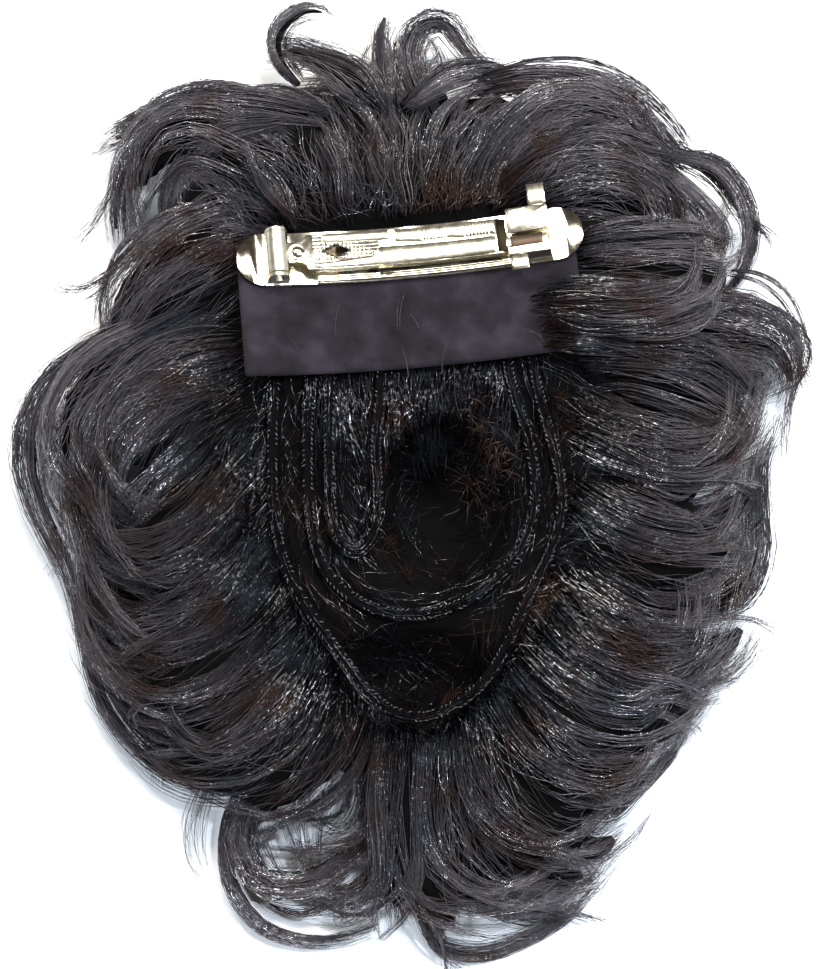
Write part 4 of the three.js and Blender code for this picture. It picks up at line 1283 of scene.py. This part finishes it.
# broad bundles that carry the hair out to its edge, between the curls
edgeBundles = [
    ("top_ridge", [(385, 115, 24), (352, 80, 21), (318, 60, 17), (288, 52, 13), (262, 56, 9)],
     10, 110, 0.9, 0.0),
    ("top_ridge_right", [(400, 110, 23), (450, 75, 20), (495, 68, 17), (535, 78, 15)], 9, 80, 0.9, 0.0),
    ("upper_left_tip", [(300, 112, 26), (240, 106, 22), (182, 114, 16), (132, 128, 10), (92, 150, 7)],
     9, 100, 0.9, 0.0),
    ("left_patch", [(215, 425, 27), (175, 460, 23), (138, 492, 18), (112, 530, 13), (96, 575, 9)],
     11, 100, 1.0, 0.0),
    ("bottom_right_mass", [(515, 795, 18), (558, 838, 13), (598, 848, 9), (630, 825, 7)], 13, 110, 1.0, 0.1),
    ("bottom_right_fill", [(480, 805, 18), (515, 855, 12), (560, 878, 8), (605, 868, 6)], 11, 100, 1.0, 0.15),
    ("right_smile_1", [(600, 395, 27), (655, 400, 22), (710, 395, 16), (755, 375, 11), (785, 360, 7)],
     13, 105, 1.0, 0.0),
    ("right_smile_2", [(600, 440, 26), (655, 455, 21), (710, 452, 15), (750, 435, 10), (768, 400, 7)],
     13, 110, 1.0, 0.1),
    ("right_smile_3", [(595, 500, 25), (650, 520, 20), (705, 520, 14), (742, 500, 10), (757, 460, 7)],
     14, 110, 1.0, 0.1),
    ("right_smile_4", [(590, 560, 24), (640, 590, 19), (695, 600, 13), (738, 580, 10), (757, 535, 7)],
     14, 110, 1.0, 0.0),
    ("right_smile_5", [(575, 620, 23), (625, 655, 18), (680, 662, 13), (728, 645, 9), (756, 600, 7)],
     13, 105, 1.0, 0.0),
    ("right_shoulder_1", [(575, 352, 36), (620, 345, 34), (680, 352, 29), (735, 375, 20), (775, 415, 10)],
     12, 105, 1.0, 0.0),
    ("right_shoulder_2", [(585, 378, 33), (630, 372, 31), (690, 385, 26), (735, 412, 17), (762, 450, 8)],
     11, 100, 1.0, 0.05),
    ("left_smile_1", [(240, 480, 26), (190, 530, 20), (135, 540, 15), (98, 515, 10), (82, 480, 8)],
     13, 110, 1.0, 0.05),
    ("left_smile_2", [(245, 545, 25), (190, 600, 19), (135, 608, 14), (100, 585, 10), (84, 545, 8)],
     13, 105, 1.0, 0.05),
    ("left_smile_3", [(260, 610, 24), (205, 665, 18), (150, 672, 13), (110, 650, 9), (88, 610, 7)],
     13, 105, 1.0, 0.0),
    ("left_smile_4", [(280, 680, 23), (230, 730, 17), (175, 738, 12), (130, 715, 9), (98, 672, 7)],
     12, 110, 1.0, 0.0),
    ("left_smile_5", [(310, 740, 21), (265, 778, 15), (215, 782, 11), (165, 762, 8), (125, 725, 7)],
     10, 90, 1.0, 0.0),
    ("right_smile_6", [(545, 690, 22), (590, 725, 17), (640, 735, 12), (685, 715, 9), (712, 675, 7)],
     12, 100, 1.0, 0.0),
]
# the hair that lies over the band's right end
bandEndBundles = [
    ("band_end_upper", [(543, 290, 40), (595, 287, 40), (655, 293, 36), (718, 300, 26)], 9, 80, 1.0, 0.0),
    ("band_end_lower", [(540, 338, 40), (590, 336, 39), (655, 345, 34), (728, 360, 24)], 11, 110, 1.0, 0.0),
]
middleX = 414               # the column and the row of the picture's middle
middleY = 485


# The place at a height, in millimetres, that the camera sees at a pixel of the picture
def atPicture(across, down, high):
    elevation = view["elevation"]
    scale = view["pixel"] / (view["distance"] + view["target"][2] - view["hairPlane"])
    ahead = np.array([0, cos(elevation), -sin(elevation)])
    upward = np.array([0, sin(elevation), cos(elevation)])
    eye = np.array(view["target"]) - ahead * view["distance"]
    ray = ahead + upward * (middleY - down) * scale
    ray[0] += (across - middleX) * scale
    return eye + ray * (high * mm - eye[2]) / ray[2]


# Places and slopes along a smooth curve through some points, at shares t of its length
def throughPoints(points, t):
    points = np.asarray(points, float)
    spans = np.linalg.norm(np.diff(points, axis=0), axis=1)
    knots = np.concatenate([[0], np.cumsum(spans)]) / spans.sum()
    slopes = np.gradient(points, knots, axis=0)
    k = np.clip(np.searchsorted(knots, t, side="right") - 1, 0, len(spans) - 1)
    span = knots[k + 1] - knots[k]
    u = ((t - knots[k]) / span)[..., None]
    span = span[..., None]
    place = ((1 + 2 * u) * (1 - u) ** 2 * points[k] + u * (1 - u) ** 2 * span * slopes[k]
             + u * u * (3 - 2 * u) * points[k + 1] + u * u * (u - 1) * span * slopes[k + 1])
    slope = ((6 * u * u - 6 * u) * (points[k] - points[k + 1]) / span + (3 * u * u - 4 * u + 1) * slopes[k]
             + (3 * u * u - 2 * u) * slopes[k + 1])
    return place, slope


def bundleStrands(route, width, count, fineness, tone, rng):
    wisps = max(2, count // 16)
    wispOf = rng.integers(0, wisps, count)
    s = np.linspace(0, 1, strands["steps"])[None, :]
    startAt = rng.uniform(0, 0.15, count)[:, None]
    endAt = (rng.uniform(0.8, 1, wisps)[wispOf] - rng.exponential(0.03, count))[:, None]
    t = startAt + (endAt - startAt) * s
    place, slope = throughPoints(route, t)
    _, left, rise = sidesOf(slope)
    spread = 0.55 + 0.45 * np.sin(pi * np.clip(t, 0, 1))
    across = (rng.uniform(-0.5, 0.5, wisps)[wispOf] + rng.normal(0, 0.09, count))[:, None]
    above = (rng.uniform(-0.2, 0.2, wisps)[wispOf] + rng.normal(0, 0.05, count))[:, None]
    phase = rng.uniform(0, 2 * pi, wisps)[wispOf][:, None]
    waves = rng.uniform(0.7, 1.6, wisps)[wispOf][:, None]
    wave = 0.08 * np.sin(2 * pi * waves * t + phase)
    stray = rng.normal(0, 0.07, count)[:, None] * np.sin(pi * t * rng.uniform(0.8, 2.4, count)[:, None])
    drift = rng.normal(0, 0.12, count)[:, None] * t ** 3
    sideways = width * mm * ((across + wave) * spread + stray + drift)
    upward = width * mm * above * spread
    paths = place + left * sideways[..., None] + rise * upward[..., None]
    tones = np.clip(colours(count, wispOf, wisps, rng) + tone, 0, 1)
    return paths, strandRadii(count, strands["steps"], rng, fineness), tones


core = {
    "width": 0.3,            # the share of its bundle's width, to each side
    "depth": 1.4 * mm,
    "sink": 1.6 * mm,
    "clear": 0.3 * mm,
    "least": 90,             # a bundle of at least this many strands has a core
    "span": (0.02, 0.86),    # the shares of its route that it runs between
}


# A dark body inside each bundle, so that no light comes through it
def addCores(name, rows, share=1.0):
    steps, sides = 14, 8
    turn = np.arange(sides) * 2 * pi / sides
    points, faces = [], []
    for number, (_, route, width, *_rest) in enumerate(rows):
        t = np.linspace(*core["span"], steps)
        place, slope = throughPoints([atPicture(*point) for point in route], t)
        _, left, rise = sidesOf(slope)
        swell = np.sin(pi * np.linspace(0.12, 0.97, steps)) ** 0.6
        across = width * mm * core["width"] * share * swell[:, None] * np.cos(turn)
        above = core["depth"] * swell[:, None] * np.sin(turn)
        place[:, 2] = np.maximum(place[:, 2] - core["sink"], core["depth"] + core["clear"])
        ring = place[:, None] + left[:, None] * across[..., None] + rise[:, None] * above[..., None]
        first = number * steps * sides + (np.arange(steps - 1) * sides)[:, None]
        k = np.arange(sides)[None, :]
        faces.append(np.stack([first + k, first + (k + 1) % sides, first + sides + (k + 1) % sides,
                               first + sides + k], axis=-1).reshape(-1, 4))
        points.append(ring.reshape(-1, 3))
    start = np.arange(sides)[::-1]
    ends = [number * steps * sides + start for number in range(len(rows))]
    ends += [number * steps * sides + (steps - 1) * sides + start[::-1] for number in range(len(rows))]
    piece = meshPiece(name, np.concatenate(points), [np.concatenate(faces), np.array(ends)])
    dress(piece, hairDepth)
    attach(piece, "hairpiece")


# Paths that cross the band are raised to lie on it
def laidOnBand(paths):
    local = inClip(paths)
    over = ((np.abs(local[..., 0]) < band["length"] / 2 + band["reach"])
            & (local[..., 1] > -band["drop"] - band["reach"]) & (local[..., 1] < -clip["width"] / 2))
    paths[..., 2] += np.where(over, np.maximum(0, band["hairOver"] - local[..., 2]), 0)
    return paths


def addBundles(name, rows, seed, overBand=False):
    rng = np.random.default_rng(seed)
    parts = [bundleStrands([atPicture(*point) for point in route], *look, rng) for _, route, *look in rows]
    paths, radii, tones = [np.concatenate(group) for group in zip(*parts)]
    if overBand:
        paths = laidOnBand(paths)
    clear = clearOfClip(paths, overBand)
    strandPiece(name, settle(paths[clear]), radii[clear], tones[clear])


addBundles("strands_curls", bundles, 31)
addBundles("strands_band_end", bandEndBundles, 33, overBand=True)
addCores("curl_cores", [row for row in bundles if row[3] >= core["least"]], 0.75)
addBundles("strands_edges", edgeBundles, 32)
addCores("hair_cores", edgeBundles)
addDraped("strands_draped", 14000, 1450, 21)
addShortHair()


# Joined small rounded forms: each is a unit ball's mesh, moved and turned by its own matrix (n, 3, 4)
def manyBalls(moves, sides=6, rings=4):
    turn = np.arange(sides) * 2 * pi / sides
    high = np.cos(np.arange(1, rings) * pi / rings)
    wide = np.sin(np.arange(1, rings) * pi / rings)
    body = [(w * cos(a), w * sin(a), h) for h, w in zip(high, wide) for a in turn]
    unit = np.array([(0, 0, 1)] + body + [(0, 0, -1)], float)
    quads = [(1 + r * sides + k, 1 + (r + 1) * sides + k, 1 + (r + 1) * sides + (k + 1) % sides,
              1 + r * sides + (k + 1) % sides) for r in range(rings - 2) for k in range(sides)]
    last = 1 + (rings - 2) * sides
    caps = [(0, 1 + k, 1 + (k + 1) % sides) for k in range(sides)]
    caps += [(len(unit) - 1, last + (k + 1) % sides, last + k) for k in range(sides)]
    points = np.einsum("nij,pj->npi", moves[:, :, :3], unit) + moves[:, None, :, 3]
    offset = (np.arange(len(moves)) * len(unit))[:, None, None]
    return points.reshape(-1, 3), [(np.array(quads)[None] + offset).reshape(-1, 4),
                                   (np.array(caps)[None] + offset).reshape(-1, 3)]


# A weft: a bundle of roots bound in tape, puckered by the two rows of stitches along it
def addWeft(weft, seed):
    rng = np.random.default_rng(seed)
    points = easedPath(loopPoints(weft))
    length = np.linalg.norm(np.diff(points, axis=0), axis=1).sum()
    steps = int(length / wefts["step"])
    t = np.linspace(0, 1, steps)
    place, slope = throughPoints(points, t)
    along, left, rise = sidesOf(slope)
    half = wefts["width"] / 2
    deep = wefts["thickness"] / 2
    section = np.array([(-0.8, -1), (0.8, -1), (1, -0.6), (1, 0.35), (0.75, 0.8), (0.35, 0.95), (0, 0.7),
                        (-0.35, 0.95), (-0.75, 0.8), (-1, 0.35), (-1, -0.6)])
    sides = len(section)
    pull = np.cos(2 * pi * t * length / wefts["stitchPitch"])[:, None] * wefts["pucker"] / 2
    uneven = np.convolve(rng.normal(0, 1, steps + 8), np.ones(9) / 9, "valid")[:, None] * wefts["pucker"]
    across = section[None, :, 0] * (half - wefts["pucker"] - pull) + uneven * 0.5
    above = section[None, :, 1] * (deep - wefts["pucker"] / 2) + (section[None, :, 1] > 0) * pull
    above = above + uneven * 0.3
    tape = place[:, None, :] + left[:, None, :] * across[..., None] + rise[:, None, :] * above[..., None]
    first = (np.arange(steps - 1) * sides)[:, None]
    k = np.arange(sides)[None, :]
    ahead = (k + 1) % sides
    around = np.stack([first + k, first + ahead, first + sides + ahead, first + sides + k],
                      axis=-1).reshape(-1, 4)
    start = np.arange(sides)[::-1][None]
    end = (np.arange(sides) + (steps - 1) * sides)[None]
    piece = meshPiece(weft["name"] + "_tape", tape.reshape(-1, 3), [around, start, end])
    dress(piece, weftTape)
    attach(piece, "hairpiece")
    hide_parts(weft["name"])

    count = int(length / wefts["stitchPitch"])
    moves = []
    for row in (-1, 1):
        at = (np.arange(count) + 0.5 + 0.25 * row + rng.uniform(-0.12, 0.12, count)) / (count + 1)
        spot, heading = throughPoints(points, at)
        ahead, beside, over = sidesOf(heading)
        slant = row * wefts["slant"] + rng.normal(0, 0.3, count)[:, None]
        lengthways = ahead * np.cos(slant) + beside * np.sin(slant)
        crossways = beside * np.cos(slant) - ahead * np.sin(slant)
        spot = spot + beside * row * wefts["stitchRow"] + over * (deep + 0.05 * mm)
        size = rng.uniform(0.6, 1.25, count)[:, None]
        moves.append(np.stack([crossways * wefts["stitchRadius"] * 1.25, over * wefts["stitchRadius"],
                               lengthways * wefts["stitchLength"] * size, spot], axis=-1))
    moves = np.concatenate(moves)
    moves = moves[rng.uniform(0, 1, len(moves)) < wefts["stitchesKept"]]
    flip = np.linalg.det(moves[:, :, :3]) < 0
    moves[flip, :, 0] *= -1
    stitches = meshPiece(weft["name"] + "_stitches", *manyBalls(moves))
    dress(stitches, weftThread)
    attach(stitches, "hairpiece")
    print(weft["name"], round(length / mm), "mm", len(moves), "stitches")


for number, weft in enumerate(loops):
    addWeft(weft, 41 + number)


# The band: a strip of black woven tape, folded and sewn flat under the barrette

creases = [                 # x and y in mm, turn in radians, reach in mm, and depth as a share
    (-26, -12, 0.25, 13, 0.5),
    (-5, -17, -0.12, 20, 0.35),
    (20, -13, 0.2, 14, 0.45),
    (-30, -22, -0.5, 7, 0.3),
    (8, -24, 0.06, 16, 0.3),
]


def addBand():
    halfLength = band["length"] / 2
    columns = int(band["length"] / band["cell"]) + 1
    rows = int((band["drop"] + band["rise"]) / band["cell"]) + 1
    xs = np.linspace(-halfLength, halfLength, columns) + band["shift"]
    ys = np.linspace(-band["drop"], band["rise"], rows)
    gridX, gridY = np.meshgrid(xs, ys, indexing="ij")
    inset = np.minimum(np.minimum(gridX - xs[0], xs[-1] - gridX), np.minimum(gridY - ys[0], ys[-1] - gridY))
    soft = np.clip(1 - inset / band["edge"], 0, 1)
    rounded = band["edge"] * (1 - np.sqrt(1 - soft ** 2 * 0.98))
    crease = np.zeros_like(gridX)
    for x, y, turn, reach, depth in creases:
        dx = gridX - x * mm
        dy = gridY - y * mm
        lengthways = dx * cos(turn) + dy * sin(turn)
        crossways = -dx * sin(turn) + dy * cos(turn)
        crease += depth * np.exp(-(lengthways / (reach * mm)) ** 2 - (crossways / (1.5 * mm)) ** 2)
    seam = 0.4 * np.exp(-((gridY + 11.2 * mm) / (0.35 * mm)) ** 2)
    crease = (crease + seam) * band["crease"] * np.clip(inset / (2 * mm), 0, 1)
    high = -band["clearance"] - rounded - crease
    low = -band["clearance"] - band["thickness"] + rounded
    arch = clip["archRadius"] - np.sqrt(clip["archRadius"] ** 2 - gridX ** 2)
    place = np.array(clipFrame)
    layers = []
    for z in (high, low):
        local = np.stack([gridX, gridY, z + arch], axis=-1).reshape(-1, 3)
        layers.append(local @ place[:3, :3].T + place[:3, 3])
    count = columns * rows
    number = np.arange(count).reshape(columns, rows)
    top = np.stack([number[:-1, :-1], number[1:, :-1], number[1:, 1:], number[:-1, 1:]], axis=-1)
    top = top.reshape(-1, 4)
    under = top[:, ::-1] + count
    rim = np.concatenate([number[:, 0], number[-1, 1:], number[-2::-1, -1], number[0, -2:0:-1]])
    ahead = np.roll(rim, -1)
    wall = np.stack([rim, rim + count, ahead + count, ahead], axis=-1)
    piece = meshPiece("band_cloth", np.concatenate(layers), [top, under, wall])
    dress(piece, bandCloth)
    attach(piece, "hairpiece")
    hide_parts("band")
    print("band", len(top) * 2 + len(wall), "faces")


addBand()


# The barrette: the stamped pieces with their edges softened, and the relief pressed in them

stamping = {
    "edge": 0.11 * mm,
    "step": 0.8 * mm,        # between the stations along a pressed strip
    "relief": 0.6 * mm,
    "flange": 1.3 * mm,
    "rib": 1.2 * mm,
    "catchHeight": 4.7 * mm,
    "rivetRing": (1.75 * mm, 0.3 * mm),
}


# Rounds the active piece's edges where they turn by more than an angle
def roundEdges(piece, leastTurn):
    bevel = piece.modifiers.new("edges", "BEVEL")
    bevel.width = stamping["edge"]
    bevel.segments = 2
    bevel.limit_method = "ANGLE"
    bevel.angle_limit = leastTurn
    bpy.ops.object.modifier_apply(modifier="edges")
    bpy.ops.object.shade_smooth_by_angle(angle=radians(24))


def softened(name, body, material):
    copy = mergedCopy(nodes[name], name + "_plated")
    roundEdges(copy, radians(28))
    dress(copy, material)
    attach(copy, body)
    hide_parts(name)


for name in ("clip_base", "clip_pin", "clip_catch"):
    softened(name, "hairpiece", nickel)
# the tension bar is dark spring steel with painted shade, for it lies in shade under the arm
softened("clip_tension_bar", "hairpiece", springSteelInShade)
softened("clip_arm", "clasp", knurledNickel)


# A pressed strip that follows the arch: its stations are x, lower y and upper y, in millimetres
def pressedStrip(name, stations, low, high, body, material):
    stations = np.array(stations, float) * mm
    places = np.concatenate([np.linspace(a, b, max(2, int(abs(b - a) / stamping["step"])), endpoint=False)
                             for a, b in zip(stations[:-1, 0], stations[1:, 0])] + [stations[-1:, 0]])
    lower = np.interp(places, stations[:, 0], stations[:, 1])
    upper = np.interp(places, stations[:, 0], stations[:, 2])
    corners = []
    for x, y0, y1 in zip(places, lower, upper):
        for y, z in ((y0, low), (y1, low), (y1, high), (y0, high)):
            corners.append(clipFrame @ onArch(x, z) @ Vector((0, y, 0)))
    count = len(places)
    first = (np.arange(count - 1) * 4)[:, None]
    k = np.arange(4)[None, :]
    around = np.stack([first + k, first + 4 + k, first + 4 + (k + 1) % 4, first + (k + 1) % 4],
                      axis=-1).reshape(-1, 4)
    caps = np.array([[0, 1, 2, 3], [count * 4 - 1, count * 4 - 2, count * 4 - 3, count * 4 - 4]])
    piece = meshPiece(name, np.array(corners), [around, caps])
    deselectAll()
    bpy.context.view_layer.objects.active = piece
    piece.select_set(True)
    roundEdges(piece, radians(40))
    dress(piece, material)
    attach(piece, body)


# Stations of a toothed edge, in millimetres
def teeth(fromX, toX, edge, upper):
    pitch = 0.8
    rise = 0.35
    count = int((toX - fromX) / pitch)
    stations = []
    for i in range(count):
        x = fromX + (toX - fromX) * i / count
        stations += [(x, edge, upper), (x + rise, edge + rise, upper)]
    return stations


ribs = [                    # from x, to x, lower y and upper y, in mm, with a bare patch between
    (-22, 26, -6.3, -5.95),
    (-22, -7.4, -5.8, -5.42),
    (-4.4, 26, -5.8, -5.42),
    (-22, -7.4, -5.27, -4.85),
    (-4.4, 26, -5.27, -4.85),
]
grips = {                   # from x, to x, from y and to y, in mm
    "upper": (28.6, 32.8, 6.0, 11.2),
    "lower": (23.4, 27.4, -9.6, -6.0),
}
armTop = clip["armLow"] + clip["armThickness"]
plateTop = clip["plateThickness"]
catchTop = plateTop + stamping["catchHeight"]
pressedStrip("arm_flange", [(-20.4, 2.3, 4.1), (-4.8, 2.1, 4.1)], armTop, armTop + stamping["relief"],
             "clasp", nickel)
pressedStrip("arm_upper", [(-3.4, 1.4, 4.1)] + teeth(3.0, 9.5, 0.9, 4.1) + teeth(13.0, 19.5, 0.7, 4.1)
             + [(20.2, 0.6, 4.1)], armTop, armTop + stamping["relief"], "clasp", nickel)
pressedStrip("arm_lower", [(-22.0, -4.1, -3.3), (-9.0, -4.1, -1.8), (-7.0, -4.1, 0.1), (20.2, -4.1, -0.1)],
             armTop, armTop + stamping["relief"], "clasp", nickel)
pressedStrip("arm_lower_flange", [(-22.5, -4.3, -3.95), (20.6, -4.3, -3.95)],
             clip["armLow"] - stamping["flange"], clip["armLow"] + 0.1 * mm, "clasp", nickel)
# painted shade: a dark strip on the tongue, where it is in shade in the catch's slot
pressedStrip("arm_tongue_shade", [(23.6, -3.5, -0.7), (31.2, -3.5, -0.7)],
             armTop, armTop + 0.08 * mm, "clasp", springSteelInShade)


# The raised ring round the rivet's head, beside the hinge
def addRivetRing():
    reach, thick = stamping["rivetRing"]
    deselectAll()
    bpy.ops.mesh.primitive_torus_add(major_radius=reach, minor_radius=thick,
                                     major_segments=40, minor_segments=12)
    ring = bpy.context.active_object
    ring.name = "arm_rivet_ring"
    ring.matrix_world = clipFrame @ onArch(clip["hingeX"] + clip["barrelRadius"] + clip["domeRadius"], armTop)
    bpy.ops.object.transform_apply(location=True, rotation=True, scale=True)
    bpy.ops.object.shade_smooth()
    dress(ring, nickel)
    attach(ring, "clasp")


addRivetRing()
# a fold at the arm's end, carried on over the gap beyond it as painted shade
pressedStrip("arm_end_fold", [(20.5, -4.2, 4.2), (22.7, -3.9, 3.9)], armTop - 0.5 * mm, armTop + 0.08 * mm,
             "clasp", shadedSteel)
for number, (fromX, toX, low, high) in enumerate(ribs, 1):
    pressedStrip("base_rib_%d" % number, [(fromX, low, high), (toX, low, high)],
                 plateTop, plateTop + stamping["rib"], "hairpiece", nickel)
for side, (fromX, toX, fromY, toY) in grips.items():
    pressedStrip("catch_grip_" + side, [(fromX, fromY, toY), (toX, fromY, toY)],
                 catchTop - 0.4 * mm, catchTop + 0.3 * mm, "hairpiece", nickel)
print("barrette")
